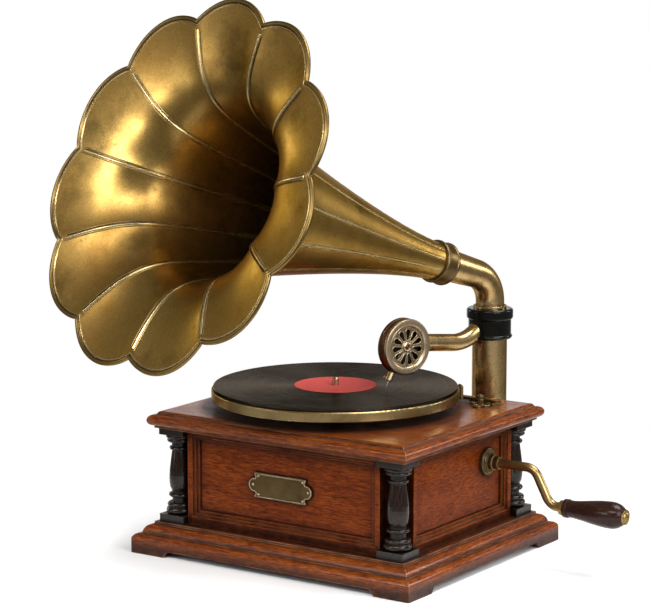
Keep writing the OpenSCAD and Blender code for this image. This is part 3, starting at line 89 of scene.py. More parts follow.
class Nodes:
    """Adds and links the nodes of one node tree."""

    BEVEL_SAMPLES = 4

    def __init__(self, tree: bpy.types.NodeTree) -> None:
        """Keeps the tree that nodes are added to."""
        self.tree = tree

    def add(self, kind: str, **settings: object) -> bpy.types.Node:
        """Adds a node and sets its properties.

        Args:
            kind: Blender's type name of the node.
            settings: Names and values of the node's properties.

        Returns:
            The new node.
        """
        node = self.tree.nodes.new(kind)
        for name, value in settings.items():
            setattr(node, name, value)
        return node

    def feed(self, source: Feed, target: Socket) -> None:
        """Links a socket to an input, or sets the input to a plain value.

        Args:
            source: Output socket, number or tuple.
            target: Input socket.
        """
        if isinstance(source, bpy.types.NodeSocket):
            self.tree.links.new(source, target)
        elif isinstance(source, tuple) and len(source) == 3 and target.type == "RGBA":
            target.default_value = (*source, 1.0)
        else:
            target.default_value = source

    def math(self, operation: str, first: Feed, second: Feed = 0.0, clamp: bool = False) -> Socket:
        """Adds a Math node.

        Args:
            operation: Name of the operation.
            first: First value.
            second: Second value.
            clamp: Whether the result stays between 0 and 1.

        Returns:
            The node's output.
        """
        node = self.add("ShaderNodeMath", operation=operation, use_clamp=clamp)
        self.feed(first, node.inputs[0])
        self.feed(second, node.inputs[1])
        return node.outputs[0]

    def times(self, first: Feed, second: Feed, clamp: bool = False) -> Socket:
        """Multiplies two values, and keeps the result between 0 and 1 if clamp is set."""
        return self.math("MULTIPLY", first, second, clamp)

    def mix(self, share: Feed, first: Feed, second: Feed, kind: Mixing = Mixing.COLOUR) -> Socket:
        """Mixes two colours or vectors.

        Args:
            share: Share of the second one.
            first: What is given at 0.
            second: What is given at 1.
            kind: What is mixed.

        Returns:
            The mix.
        """
        data_type, low, high, out = kind.value
        node = self.add("ShaderNodeMix", data_type=data_type)
        self.feed(share, node.inputs[0])
        self.feed(first, node.inputs[low])
        self.feed(second, node.inputs[high])
        return node.outputs[out]

    def remap(self, value: Feed, low: float, high: float, out: Pair = (0.0, 1.0)) -> Socket:
        """Maps a value from one range to another and keeps it there.

        Args:
            value: Value to map.
            low: Start of its range.
            high: End of its range.
            out: Start and end of the new range.

        Returns:
            The mapped value.
        """
        node = self.add("ShaderNodeMapRange")
        self.feed(value, node.inputs["Value"])
        for name, number in zip(("From Min", "From Max", "To Min", "To Max"), (low, high, *out)):
            node.inputs[name].default_value = number
        return node.outputs["Result"]

    def noise(self, vector: Feed, scale: Feed, detail: float, roughness: float = 0.55) -> Socket:
        """Adds a noise pattern and gives its value.

        Args:
            vector: Place that the pattern is read at.
            scale: Waves for each unit of the vector.
            detail: Number of finer layers.
            roughness: Strength of the finer layers.

        Returns:
            The pattern's value, from 0 to 1.
        """
        node = self.add("ShaderNodeTexNoise")
        self.feed(vector, node.inputs["Vector"])
        self.feed(scale, node.inputs["Scale"])
        node.inputs["Detail"].default_value = detail
        node.inputs["Roughness"].default_value = roughness
        return node.outputs["Fac"]

    def mapped(self, vector: Feed, scale: Triple = (1, 1, 1), turn: Triple = (0, 0, 0),
               move: Triple = (0, 0, 0)) -> Socket:
        """Moves, turns and scales a place.

        Args:
            vector: Place to map.
            scale: Scale along each axis.
            turn: Turn about each axis, in degrees.
            move: Shift along each axis.

        Returns:
            The mapped place.
        """
        node = self.add("ShaderNodeMapping")
        self.feed(vector, node.inputs["Vector"])
        node.inputs["Scale"].default_value = scale
        node.inputs["Rotation"].default_value = [math.radians(a) for a in turn]
        node.inputs["Location"].default_value = move
        return node.outputs["Vector"]

    def place(self) -> Socket:
        """Gives the piece's own coordinates, in metres."""
        return self.add("ShaderNodeTexCoord").outputs["Object"]

    def vectors(self, operation: str, *vectors: Feed) -> bpy.types.Node:
        """Adds a Vector Math node.

        Args:
            operation: Name of the operation.
            vectors: The vectors that it takes.

        Returns:
            The node.
        """
        node = self.add("ShaderNodeVectorMath", operation=operation)
        for vector, socket in zip(vectors, node.inputs):
            self.feed(vector, socket)
        return node

    def rounded(self, radius: float) -> Socket:
        """Rounds the edges of the shading.

        Args:
            radius: Radius of the rounding, in metres.

        Returns:
            The rounded normal.
        """
        node = self.add("ShaderNodeBevel", samples=self.BEVEL_SAMPLES)
        node.inputs["Radius"].default_value = radius
        return node.outputs["Normal"]

    def group(self, tree: bpy.types.NodeTree, **inputs: Feed) -> bpy.types.NodeOutputs:
        """Places a node group and feeds its inputs.

        Args:
            tree: The group.
            inputs: Input names, with _ for a space, and their values.

        Returns:
            The outputs of the group's node.
        """
        node = self.add("ShaderNodeGroup", node_tree=tree)
        for name, value in inputs.items():
            self.feed(value, node.inputs[name.replace("_", " ")])
        return node.outputs

    def bump(self, height: Feed, strength: float, distance: float,
             normal: Socket | None = None) -> Socket:
        """Adds a bump from a height.

        Args:
            height: Height to bump by.
            strength: Strength of the bump.
            distance: Depth that a height of 1 stands for, in metres.
            normal: Normal that is bumped, or None for the surface's own.

        Returns:
            The bumped normal.
        """
        node = self.add("ShaderNodeBump")
        node.inputs["Strength"].default_value = strength
        node.inputs["Distance"].default_value = distance
        self.feed(height, node.inputs["Height"])
        if normal is not None:
            self.feed(normal, node.inputs["Normal"])
        return node.outputs["Normal"]


class Effect:
    """A node group that several finishes share, built the first time that it is asked for."""

    name: str
    inputs: dict[str, float]
    outputs: tuple[str, ...]

    @classmethod
    def tree(cls) -> bpy.types.NodeTree:
        """Gives the group.

        Returns:
            The group, with a Vector input, the value inputs and the value outputs.
        """
        made = bpy.data.node_groups.get(cls.name)
        if made is not None:
            return made
        made = bpy.data.node_groups.new(cls.name, "ShaderNodeTree")
        made.interface.new_socket(name="Vector", in_out="INPUT", socket_type="NodeSocketVector")
        for label, value in cls.inputs.items():
            socket = made.interface.new_socket(name=label, in_out="INPUT", socket_type="NodeSocketFloat")
            socket.default_value = value
        for label in cls.outputs:
            made.interface.new_socket(name=label, in_out="OUTPUT", socket_type="NodeSocketFloat")
        nodes = Nodes(made)
        start = nodes.add("NodeGroupInput").outputs
        end = nodes.add("NodeGroupOutput").inputs
        for label, value in cls.wire(nodes, start).items():
            nodes.feed(value, end[label])
        return made

    @classmethod
    def wire(cls, n: Nodes, start: bpy.types.NodeOutputs) -> dict[str, Socket]:
        """Adds the group's nodes.

        Args:
            n: Nodes of the group.
            start: What comes into the group.

        Returns:
            The value for each output.
        """
        raise NotImplementedError


class WoodFigure(Effect):
    """Figure, fibre and pores of wood whose grain runs along the vector's x."""

    name = "wood_figure"
    inputs = {}
    outputs = ("Figure", "Fibre", "Pores")
    WARP_GRAIN = (3, 9, 9)
    WARP_LIFT = 0.05
    FIGURE_GRAIN = (4, 20, 20)
    FIBRE_GRAIN = (50, 420, 420)
    PORE_GRAIN = (150, 1100, 1100)

    @classmethod
    def wire(cls, n: Nodes, start: bpy.types.NodeOutputs) -> dict[str, Socket]:
        """Adds the group's nodes.

        Args:
            n: Nodes of the group.
            start: What comes into the group.

        Returns:
            The value for each output.
        """
        place = start["Vector"]
        warp = n.noise(n.mapped(place, cls.WARP_GRAIN), scale=3.0, detail=2.0)
        lift = n.times(n.math("SUBTRACT", warp, 0.5), cls.WARP_LIFT)
        bent = n.vectors("ADD", place, lift).outputs[0]
        figure = n.noise(n.mapped(bent, cls.FIGURE_GRAIN), scale=3.0, detail=6.0, roughness=0.6)
        fibre = n.noise(n.mapped(place, cls.FIBRE_GRAIN), scale=2.0, detail=4.0, roughness=0.7)
        pores = n.noise(n.mapped(place, cls.PORE_GRAIN), scale=1.3, detail=1.5)
        return {"Figure": n.remap(figure, 0.3, 0.7), "Fibre": n.remap(fibre, 0.3, 0.7),
                "Pores": n.remap(pores, 0.56, 0.7)}


class Ageing(Effect):
    """Clouds, blotches, dark spots, speckle and fine brushing of aged metal."""

    name = "metal_ageing"
    inputs = {"Cloud Scale": 16.0, "Spot Scale": 260.0}
    outputs = ("Cloud", "Blotch", "Spots", "Speckle", "Brushing")
    PATCH_RATIO = 2.6
    BLOTCH_RATIO = 1.3
    BLOTCH_SHIFT = (0.7, 0.3, 0.9)
    SPECKLE_SCALE = 620.0
    BRUSH_GRAIN = (1, 1, 0.22)
    BRUSH_SCALE = 1500.0

    @classmethod
    def wire(cls, n: Nodes, start: bpy.types.NodeOutputs) -> dict[str, Socket]:
        """Adds the group's nodes.

        Args:
            n: Nodes of the group.
            start: What comes into the group.

        Returns:
            The value for each output.
        """
        vector, cloud_scale = start["Vector"], start["Cloud Scale"]
        cloud = n.noise(vector, cloud_scale, detail=6.0, roughness=0.62)
        spots = n.noise(vector, start["Spot Scale"], detail=4.0, roughness=0.7)
        patch = n.noise(vector, n.times(cloud_scale, cls.PATCH_RATIO), detail=3.0)
        moved = n.mapped(vector, move=cls.BLOTCH_SHIFT)
        blotch = n.noise(moved, n.times(cloud_scale, cls.BLOTCH_RATIO), detail=5.0, roughness=0.6)
        speckle = n.noise(moved, cls.SPECKLE_SCALE, detail=4.0, roughness=0.75)
        brushing = n.noise(n.mapped(vector, cls.BRUSH_GRAIN), cls.BRUSH_SCALE, detail=2.0)
        marked = n.times(n.remap(spots, 0.56, 0.74), n.remap(patch, 0.42, 0.62))
        return {"Cloud": n.remap(cloud, 0.34, 0.68), "Blotch": n.remap(blotch, 0.54, 0.72),
                "Spots": marked, "Speckle": n.remap(speckle, 0.35, 0.65), "Brushing": brushing}


class RecessGrimeAndShade(Effect):
    """Darkening in a piece's own recesses, found by ambient occlusion: partly dirt, partly painted
    shade.
    """

    name = "recess_grime_and_shade"
    inputs = {"Reach": 0.004}
    outputs = ("GrimeAndShade",)
    ALONE = True
    OPEN, SHUT = 0.92, 0.55
    SAMPLES = 8
    PATCH_SCALE = 120.0
    THINNEST = 0.75

    @classmethod
    def wire(cls, n: Nodes, start: bpy.types.NodeOutputs) -> dict[str, Socket]:
        """Adds the group's nodes.

        Args:
            n: Nodes of the group.
            start: What comes into the group.

        Returns:
            The value for each output.
        """
        # The occlusion mask paints shade into recesses, mixed with dirt.
        light = n.add("ShaderNodeAmbientOcclusion", samples=cls.SAMPLES, only_local=cls.ALONE)
        n.feed(start["Reach"], light.inputs["Distance"])
        patch = n.noise(start["Vector"], cls.PATCH_SCALE, detail=3.0)
        uneven = n.remap(patch, 0.3, 0.7, (cls.THINNEST, 1.0))
        depth = n.remap(light.outputs["AO"], cls.OPEN, cls.SHUT)
        return {"GrimeAndShade": n.times(depth, uneven, clamp=True)}


class JointGrimeAndShade(RecessGrimeAndShade):
    """Darkening in recesses and where a piece meets others: partly dirt, partly painted shade."""

    name = "joint_grime_and_shade"
    ALONE = False
    OPEN, SHUT = 0.985, 0.74


class EdgeWearAndHighlight(Effect):
    """Mask of the edges that are lightened: partly wear, partly painted highlight."""

    name = "edge_wear_and_highlight"
    inputs = {"Patch Scale": 40.0}
    outputs = ("Rub",)
    RADIUS = 1.8 * MM
    STRAIGHT, TURNED = 0.985, 0.86

    @classmethod
    def wire(cls, n: Nodes, start: bpy.types.NodeOutputs) -> dict[str, Socket]:
        """Adds the group's nodes.

        Args:
            n: Nodes of the group.
            start: What comes into the group.

        Returns:
            The value for each output.
        """
        plain = n.add("ShaderNodeNewGeometry").outputs["Normal"]
        turn = n.vectors("DOT_PRODUCT", n.rounded(cls.RADIUS), plain).outputs["Value"]
        edge = n.remap(turn, cls.STRAIGHT, cls.TURNED)
        patch = n.remap(n.noise(start["Vector"], start["Patch Scale"], detail=4.0), 0.34, 0.62)
        return {"Rub": n.times(edge, patch, clamp=True)}


# Finishes


def shaded(colour: Colour, share: float) -> Colour:
    """Gives a colour darkened to a share of its light."""
    return tuple(share * channel for channel in colour)


@dataclass(frozen=True)
class Finish:
    """A named finish that makes one Blender material."""

    name: str

    def material(self) -> bpy.types.Material:
        """Gives the material, and builds it the first time.

        Returns:
            The material.
        """
        label = f"{self.name} finish"
        made = bpy.data.materials.get(label)
        if made is not None:
            return made
        made = bpy.data.materials.new(label)
        made.use_nodes = True
        made.node_tree.nodes.clear()
        nodes = Nodes(made.node_tree)
        shader = nodes.add("ShaderNodeBsdfPrincipled")
        out = nodes.add("ShaderNodeOutputMaterial")
        nodes.feed(shader.outputs["BSDF"], out.inputs["Surface"])
        self.wire(nodes, shader.inputs)
        return made

    def wire(self, n: Nodes, shader: bpy.types.NodeInputs) -> None:
        """Feeds the shader.

        Args:
            n: Nodes of the material.
            shader: Inputs of its Principled shader.
        """
        raise NotImplementedError


@dataclass(frozen=True)
class Wood(Finish):
    """Polished wood with figure, fibre and pores, edges lightened by wear and painted highlight, and
    recesses darkened by dirt and painted shade.
    """

    dark: Colour
    mid: Colour
    light: Colour
    wear_and_highlight_colour: Colour
    grain: Grain = Grain.ALONG_X
    mitre: tuple[float, float, float, float] | None = None
    mitre_shift: Triple = (0.31, 0.17, 0.0)
    inlay: float = 0.0
    figure_share: float = 0.28
    fibre_share: float = 0.72
    pore_depth: float = 0.6
    reach: float = 0.02
    fine_reach: float = 0.004
    grime_and_shade: float = 0.97
    grime_shade: float = 0.2
    grime_rough: float = 0.3
    wear_and_highlight_share: float = 0.35
    roughness: float = 0.24
    rough_swing: float = 0.05
    specular: float = 0.14
    edge_r: float = 0.9 * MM
    relief: float = 0.2
    relief_depth: float = 0.12 * MM
    fibre_rise: float = 0.35

    def along(self, n: Nodes, place: Socket) -> Socket:
        """Gives the place turned so that its x runs along the grain, also round mitred corners.

        Args:
            n: Nodes of the material.
            place: The piece's own coordinates.

        Returns:
            The turned place.
        """
        first = n.mapped(place, turn=self.grain.value)
        if self.mitre is None:
            return first
        parts = n.add("ShaderNodeSeparateXYZ")
        n.feed(place, parts.inputs[0])
        past = []
        for axis, middle, half in zip("XY", self.mitre[:2], self.mitre[2:]):
            off = n.math("ABSOLUTE", n.math("SUBTRACT", parts.outputs[axis], middle))
            past.append(n.math("SUBTRACT", off, half))
        side = n.math("GREATER_THAN", *past)
        if self.inlay:
            side = n.times(side, n.math("GREATER_THAN", past[0], -self.inlay))
        turned = n.mapped(place, turn=Grain.ALONG_Y.value, move=self.mitre_shift)
        return n.mix(side, first, turned, Mixing.VECTOR)

    def wire(self, n: Nodes, shader: bpy.types.NodeInputs) -> None:
        """Feeds the shader with the wood's colours and relief.

        Args:
            n: Nodes of the material.
            shader: Inputs of its Principled shader.
        """
        place = n.place()
        wood = n.group(WoodFigure.tree(), Vector=self.along(n, place))
        # Occlusion masks darken recesses and joints with dirt and painted shade.
        broad = n.group(JointGrimeAndShade.tree(), Vector=place, Reach=self.reach)["GrimeAndShade"]
        fine = n.group(JointGrimeAndShade.tree(), Vector=place, Reach=self.fine_reach)["GrimeAndShade"]
        grime_and_shade = n.math("MAXIMUM", broad, fine)
        # The edge mask lightens edges with wear and painted highlight.
        wear_and_highlight = n.group(EdgeWearAndHighlight.tree(), Vector=place)["Rub"]
        shade = n.math("ADD", n.times(wood["Figure"], self.figure_share),
                       n.times(wood["Fibre"], self.fibre_share))
        colour = n.mix(n.remap(shade, 0.08, 0.5), self.dark, self.mid)
        colour = n.mix(n.remap(shade, 0.5, 0.95), colour, self.light)
        colour = n.mix(n.times(wood["Pores"], self.pore_depth), colour, self.dark)
        colour = n.mix(n.times(grime_and_shade, self.grime_and_shade), colour, shaded(self.dark, self.grime_shade))
        colour = n.mix(n.times(wear_and_highlight, self.wear_and_highlight_share), colour, self.wear_and_highlight_colour)
        n.feed(colour, shader["Base Color"])
        swing = (self.roughness + self.rough_swing, self.roughness - self.rough_swing)
        rough = n.math("ADD", n.remap(wood["Figure"], 0, 1, swing), n.times(grime_and_shade, self.grime_rough))
        n.feed(rough, shader["Roughness"])
        height = n.math("SUBTRACT", n.times(wood["Fibre"], self.fibre_rise), wood["Pores"])
        normal = n.bump(height, self.relief, self.relief_depth, n.rounded(self.edge_r))
        n.feed(normal, shader["Normal"])
        shader["Specular IOR Level"].default_value = self.specular


@dataclass(frozen=True)
class Metal(Finish):
    """Aged metal with clouds of tarnish and dark spots, recesses darkened by dirt and painted shade, and
    edges lightened by wear and painted highlight.
    """

    clean: Colour
    aged: Colour
    black: Colour
    wear_and_highlight_colour: Colour
    roughness: float = 0.3
    rough_dip: float = 0.05
    rough_rise: float = 0.09
    spot_rough: float = 0.25
    cloud_scale: float = 16.0
    spot_scale: float = 260.0
    spots: float = 0.6
    blotch: float = 0.35
    speckle: float = 0.2
    grime_and_shade: float = 0.8
    reach: float = 0.004
    deep: float = 0.0
    deep_reach: float = 0.11
    deep_start: float = 0.15
    deep_shade: float = 0.5
    wear_and_highlight_share: float = 0.7
    brushing: float = 0.12
    pitting: float = 0.3
    edge_r: float = 0.6 * MM
    relief: float = 0.2
    relief_depth: float = 0.1 * MM
    metallic: float = 1.0
    specular: float = 0.5
    edge: Colour = (0.53, 0.42, 0.32)

    def colour(self, n: Nodes, place: Socket, age: bpy.types.NodeOutputs, spots: Socket) -> Socket:
        """Lays tarnish, blotches and spots over the clean metal, darkens recesses (and the throat when
        deep is set) with dirt and painted shade, and lightens edges with wear and painted highlight.

        Args:
            n: Nodes of the material.
            place: The piece's own coordinates.
            age: Outputs of the ageing.
            spots: Strength of the dark spots.

        Returns:
            The colour.
        """
        # The recess mask darkens with dirt and painted shade; the edge mask lightens with wear and
        # painted highlight.
        dirt_and_shade = n.group(RecessGrimeAndShade.tree(), Vector=place, Reach=self.reach)["GrimeAndShade"]
        wear_and_highlight = n.group(EdgeWearAndHighlight.tree(), Vector=place)["Rub"]
        colour = n.mix(age["Cloud"], self.clean, self.aged)
        colour = n.mix(n.times(age["Blotch"], self.blotch), colour, self.black)
        grit = n.times(n.math("SUBTRACT", 1.0, age["Speckle"]), self.speckle)
        colour = n.mix(n.math("MAXIMUM", spots, grit), colour, self.black)
        colour = n.mix(n.times(dirt_and_shade, self.grime_and_shade), colour, self.black)
        # A wide occlusion mask darkens the throat when deep is set: partly dirt, partly painted shade.
        if self.deep:
            inside = n.group(RecessGrimeAndShade.tree(), Vector=place, Reach=self.deep_reach)["GrimeAndShade"]
            soot_and_shade = n.remap(inside, self.deep_start, 1.0, (0.0, self.deep))
            colour = n.mix(soot_and_shade, colour, shaded(self.black, self.deep_shade))
        return n.mix(n.times(wear_and_highlight, self.wear_and_highlight_share), colour, self.wear_and_highlight_colour)

    def wire(self, n: Nodes, shader: bpy.types.NodeInputs) -> None:
        """Feeds the shader with the metal's colours and relief.

        Args:
            n: Nodes of the material.
            shader: Inputs of its Principled shader.
        """
        place = n.place()
        age = n.group(Ageing.tree(), Vector=place, Cloud_Scale=self.cloud_scale,
                      Spot_Scale=self.spot_scale)
        spots = n.times(age["Spots"], self.spots)
        n.feed(self.colour(n, place, age, spots), shader["Base Color"])
        swing = (self.roughness - self.rough_dip, self.roughness + self.rough_rise)
        rough = n.remap(age["Cloud"], 0, 1, swing)
        rough = n.math("ADD", rough, n.times(spots, self.spot_rough), clamp=True)
        n.feed(rough, shader["Roughness"])
        height = n.math("SUBTRACT", n.times(age["Brushing"], self.brushing),
                        n.times(spots, self.pitting))
        normal = n.bump(height, self.relief, self.relief_depth, n.rounded(self.edge_r))
        n.feed(normal, shader["Normal"])
        shader["Metallic"].default_value = self.metallic
        shader["Specular IOR Level"].default_value = self.specular
        shader["Specular Tint"].default_value = (*self.edge, 1.0)


@dataclass(frozen=True)
class Shellac(Finish):
    """Black pressed shellac with grooves round the spindle and bands between the passages."""

    centre: Pair
    inner: float
    outer: float
    fade: float = 2 * MM
    pitch: float = 0.9 * MM
    band_scale: float = 260.0
    band_rise: float = 1.5
    dust_scale: float = 34.0
    dust_share: float = 0.5
    dust_rough: float = 0.12
    roughness: Pair = (0.23, 0.34)
    relief: float = 0.35
    relief_depth: float = 0.06 * MM
    stretch: float = 0.85
    stretch_turn: float = 0.25
    body: Colour = (0.034, 0.028, 0.023)
    dusty: Colour = (0.080, 0.067, 0.056)
    edge: Colour = (0.46, 0.41, 0.36)

    def wire(self, n: Nodes, shader: bpy.types.NodeInputs) -> None:
        """Feeds the shader with the grooves' relief and sheen.

        Args:
            n: Nodes of the material.
            shader: Inputs of its Principled shader.
        """
        place = n.place()
        flat = n.mapped(place, (1, 1, 0), move=(-self.centre[0], -self.centre[1], 0))
        reach = n.vectors("LENGTH", flat).outputs["Value"]
        rings = n.add("ShaderNodeCombineXYZ")
        n.feed(reach, rings.inputs["X"])
        bands = n.noise(rings.outputs[0], self.band_scale, detail=3.0, roughness=0.7)
        cut = n.times(n.remap(reach, self.inner, self.inner + self.fade),
                      n.remap(reach, self.outer, self.outer - self.fade))
        dust = n.remap(n.noise(place, self.dust_scale, detail=6.0, roughness=0.7), 0.45, 0.8)
        tone = n.mix(n.times(dust, self.dust_share), self.body, self.dusty)
        tone = n.mix(n.times(n.remap(bands, 0.5, 0.72), cut), tone, self.dusty)
        n.feed(tone, shader["Base Color"])
        rough = n.remap(bands, 0.3, 0.7, self.roughness)
        n.feed(n.math("ADD", rough, n.times(dust, self.dust_rough)), shader["Roughness"])
        groove = n.math("SINE", n.times(reach, 2 * math.pi / self.pitch))
        height = n.times(n.math("ADD", groove, n.times(bands, self.band_rise)), cut)
        n.feed(n.bump(height, self.relief, self.relief_depth), shader["Normal"])
        tangent = n.add("ShaderNodeTangent", direction_type="RADIAL", axis="Z")
        n.feed(tangent.outputs[0], shader["Tangent"])
        shader["Anisotropic"].default_value = self.stretch
        shader["Anisotropic Rotation"].default_value = self.stretch_turn
        # The groove walls act as tiny mirrors, so the sheen is set as a dark metal's.
        shader["Metallic"].default_value = 1.0
        shader["Specular Tint"].default_value = (*self.edge, 1.0)


@dataclass(frozen=True)
class Plain(Finish):
    """Paper, felt, rubber, leather or mica: a mottled colour with a fine relief."""

    first: Colour
    second: Colour
    roughness: float = 0.8
    rough_swing: float = 0.06
    mottle: float = 90.0
    mottle_share: float = 0.7
    tooth: float = 1800.0
    tooth_share: float = 0.3
    relief: float = 0.5
    depth: float = 0.08 * MM
    sheen: float = 0.0
    specular: float = 0.1

    def wire(self, n: Nodes, shader: bpy.types.NodeInputs) -> None:
        """Feeds the shader with the mottled colour and relief.

        Args:
            n: Nodes of the material.
            shader: Inputs of its Principled shader.
        """
        place = n.place()
        broad = n.remap(n.noise(place, self.mottle, detail=5.0, roughness=0.65), 0.3, 0.7)
        fine = n.noise(place, self.tooth, detail=3.0)
        shade = n.math("ADD", n.times(broad, self.mottle_share), n.times(fine, self.tooth_share))
        n.feed(n.mix(shade, self.first, self.second), shader["Base Color"])
        swing = (self.roughness - self.rough_swing, self.roughness + self.rough_swing)
        n.feed(n.remap(shade, 0, 1, swing), shader["Roughness"])
        n.feed(n.bump(fine, self.relief, self.depth), shader["Normal"])
        shader["Sheen Weight"].default_value = self.sheen
        shader["Specular IOR Level"].default_value = self.specular


# Making pieces


class Workshop:
    """Turns bmeshes and curves into pieces that ride on the model."""

    ORIGIN = (0, 0, 0)
    UP = (0, 0, 1)
    SAME_SPOT = 1e-6

    @staticmethod
    def centre(node: str) -> Vector:
        """Gives the middle of the box round a solid."""
        low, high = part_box(node)
        return (Vector(low) + Vector(high)) / 2

    @staticmethod
    def joint(name: str) -> Vector:
        """Gives a joint's place, in metres."""
        joints = frame["record"]["behaviour"]["joints"]
        return Vector(next(j["pos_m"] for j in joints if j["name"] == name))

    @staticmethod
    def aim(place: Vector, target: Vector) -> Matrix:
        """Gives the frame of a camera or lamp at a place that looks at a target."""
        turn = (target - place).to_track_quat("-Z", "Y").to_matrix().to_4x4()
        return Matrix.Translation(place) @ turn

    @staticmethod
    def put(name: str, data: bpy.types.ID) -> bpy.types.Object:
        """Puts a mesh, lamp or camera in the scene.

        Args:
            name: Name of the object.
            data: What the object shows.

        Returns:
            The object.
        """
        obj = bpy.data.objects.new(name, data)
        bpy.context.scene.collection.objects.link(obj)
        return obj

    @staticmethod
    def dress(finish: Finish, *nodes: str) -> None:
        """Gives solids a finish.

        Args:
            finish: The finish.
            nodes: Names of the solids.
        """
        for node in nodes:
            mesh = frame["nodes"][node].data
            mesh.materials.clear()
            mesh.materials.append(finish.material())
            LOG.info("dressed %s in %s", node, finish.name)

    @classmethod
    def piece(cls, name: str, bm: bmesh.types.BMesh, finishes: tuple[Finish, ...], body: str,
              slot: str, shading: Shading = Shading.CREASED) -> bpy.types.Object:
        """Makes a riding piece from a bmesh in the model's frame.

        Args:
            name: Name of the piece.
            bm: Its mesh, which is freed.
            finishes: Finishes, in the order of the faces' material numbers.
            body: Body that it rides on.
            slot: Material slot of the record; not used.
            shading: How its faces are shaded.

        Returns:
            The piece.
        """
        mesh = bpy.data.meshes.new(name)
        bm.to_mesh(mesh)
        bm.free()
        for finish in finishes:
            mesh.materials.append(finish.material())
        mesh.polygons.foreach_set("use_smooth", [True] * len(mesh.polygons))
        if shading is not Shading.SMOOTH:
            mesh.set_sharp_from_angle(angle=math.radians(shading.value))
        obj = cls.put(name, mesh)
        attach(obj, body)
        LOG.info("made %s on %s, %d faces", name, body, len(mesh.polygons))
        return obj

    @staticmethod
    def spline(curve: bpy.types.Curve, points: list[Vector], closed: bool) -> bpy.types.Spline:
        """Adds a line through points to a curve.

        Args:
            curve: The curve.
            points: Points of the line.
            closed: Whether it closes.

        Returns:
            The line.
        """
        line = curve.splines.new("POLY")
        line.points.add(len(points) - 1)
        line.use_cyclic_u = closed
        for spot, point in zip(line.points, points):
            spot.co = (*point, 1.0)
        return line

    @staticmethod
    def meshed(curve: bpy.types.Curve) -> bmesh.types.BMesh:
        """Makes a bmesh of a curve, and removes the curve.

        Args:
            curve: The curve.

        Returns:
            Its mesh.
        """
        holder = bpy.data.objects.new(curve.name, curve)
        mesh = bpy.data.meshes.new_from_object(holder)
        bm = bmesh.new()
        bm.from_mesh(mesh)
        bpy.data.meshes.remove(mesh)
        bpy.data.objects.remove(holder)
        bpy.data.curves.remove(curve)
        return bm

    @classmethod
    def wires(cls, paths: list[Path], radius: float, sides: int,
              start: float = 1.0) -> bmesh.types.BMesh:
        """Sweeps round wires along paths.

        Args:
            paths: Points of each path, and whether it closes.
            radius: Radius of the wires at the end of their paths.
            sides: Fineness of their round section.
            start: Share of that radius at the start of their paths.

        Returns:
            The wires' mesh.
        """
        curve = bpy.data.curves.new("wires", "CURVE")
        curve.dimensions = "3D"
        curve.bevel_depth = radius
        curve.bevel_resolution = sides
        curve.use_fill_caps = True
        for points, closed in paths:
            line = cls.spline(curve, points, closed)
            for i, spot in enumerate(line.points):
                spot.radius = start + (1 - start) * i / len(points)
        return cls.meshed(curve)

    @classmethod
    def pierced(cls, outlines: list[list[Vector]], thickness: float) -> bmesh.types.BMesh:
        """Fills a flat outline with holes in it and gives it a thickness.

        Args:
            outlines: The outer outline and the holes, in the plane of x and y.
            thickness: Thickness of the plate, half to each side of the plane.

        Returns:
            The plate's mesh.
        """
        curve = bpy.data.curves.new("plate", "CURVE")
        curve.dimensions = "2D"
        curve.fill_mode = "BOTH"
        curve.extrude = thickness / 2
        for points in outlines:
            cls.spline(curve, points, closed=True)
        return cls.meshed(curve)

    @classmethod
    def turned(cls, profile: tuple[Pair, ...], steps: int) -> bmesh.types.BMesh:
        """Spins a profile round the z axis.

        Args:
            profile: Radius and height of its points, in millimetres, from one end to the other.
            steps: Steps of the full turn.

        Returns:
            The turned mesh.
        """
        bm = bmesh.new()
        spots = [bm.verts.new((r * MM, 0.0, z * MM)) for r, z in profile]
        edges = [bm.edges.new(pair) for pair in zip(spots, spots[1:])]
        bmesh.ops.spin(bm, geom=spots + edges, cent=cls.ORIGIN, axis=cls.UP, angle=2 * math.pi,
                       steps=steps, use_merge=True)
        bmesh.ops.remove_doubles(bm, verts=bm.verts, dist=cls.SAME_SPOT)
        bmesh.ops.recalc_face_normals(bm, faces=bm.faces)
        return bm

    @staticmethod
    def join(target: bmesh.types.BMesh, other: bmesh.types.BMesh, slot_number: int = 0) -> None:
        """Adds one bmesh to another and frees it.

        Args:
            target: Mesh that is added to.
            other: Mesh that is added.
            slot_number: Material number of the added faces.
        """
        for face in other.faces:
            face.material_index = slot_number
        mesh = bpy.data.meshes.new("joined")
        other.to_mesh(mesh)
        other.free()
        target.from_mesh(mesh)
        bpy.data.meshes.remove(mesh)


# Palette

# Each wood's edge colour lightens its edges: partly wear, partly painted highlight.
MAHOGANY = {
    "dark": (0.036, 0.0064, 0.0010), "mid": (0.150, 0.0260, 0.0036),
    "light": (0.285, 0.064, 0.0085), "wear_and_highlight_colour": (0.52, 0.20, 0.07)}
MOULDED_MAHOGANY = {
    "dark": (0.022, 0.0052, 0.0014), "mid": (0.165, 0.034, 0.0054), "light": (0.34, 0.092, 0.0165),
    "wear_and_highlight_colour": (0.55, 0.24, 0.10)}
# Near-black mahogany for the corner posts, darkened to paint the shade that falls behind the columns.
SHADED_MAHOGANY = {
    "dark": (0.004, 0.0017, 0.001), "mid": (0.011, 0.004, 0.002), "light": (0.024, 0.008, 0.003),
    "wear_and_highlight_colour": (0.12, 0.045, 0.02)}
EBONY = {
    "dark": (0.005, 0.0035, 0.003), "mid": (0.014, 0.008, 0.0055), "light": (0.031, 0.0165, 0.010),
    "wear_and_highlight_colour": (0.12, 0.06, 0.032)}
HANDLE_WOOD = {
    "dark": (0.008, 0.004, 0.003), "mid": (0.022, 0.008, 0.006), "light": (0.05, 0.016, 0.011),
    "wear_and_highlight_colour": (0.12, 0.045, 0.03)}
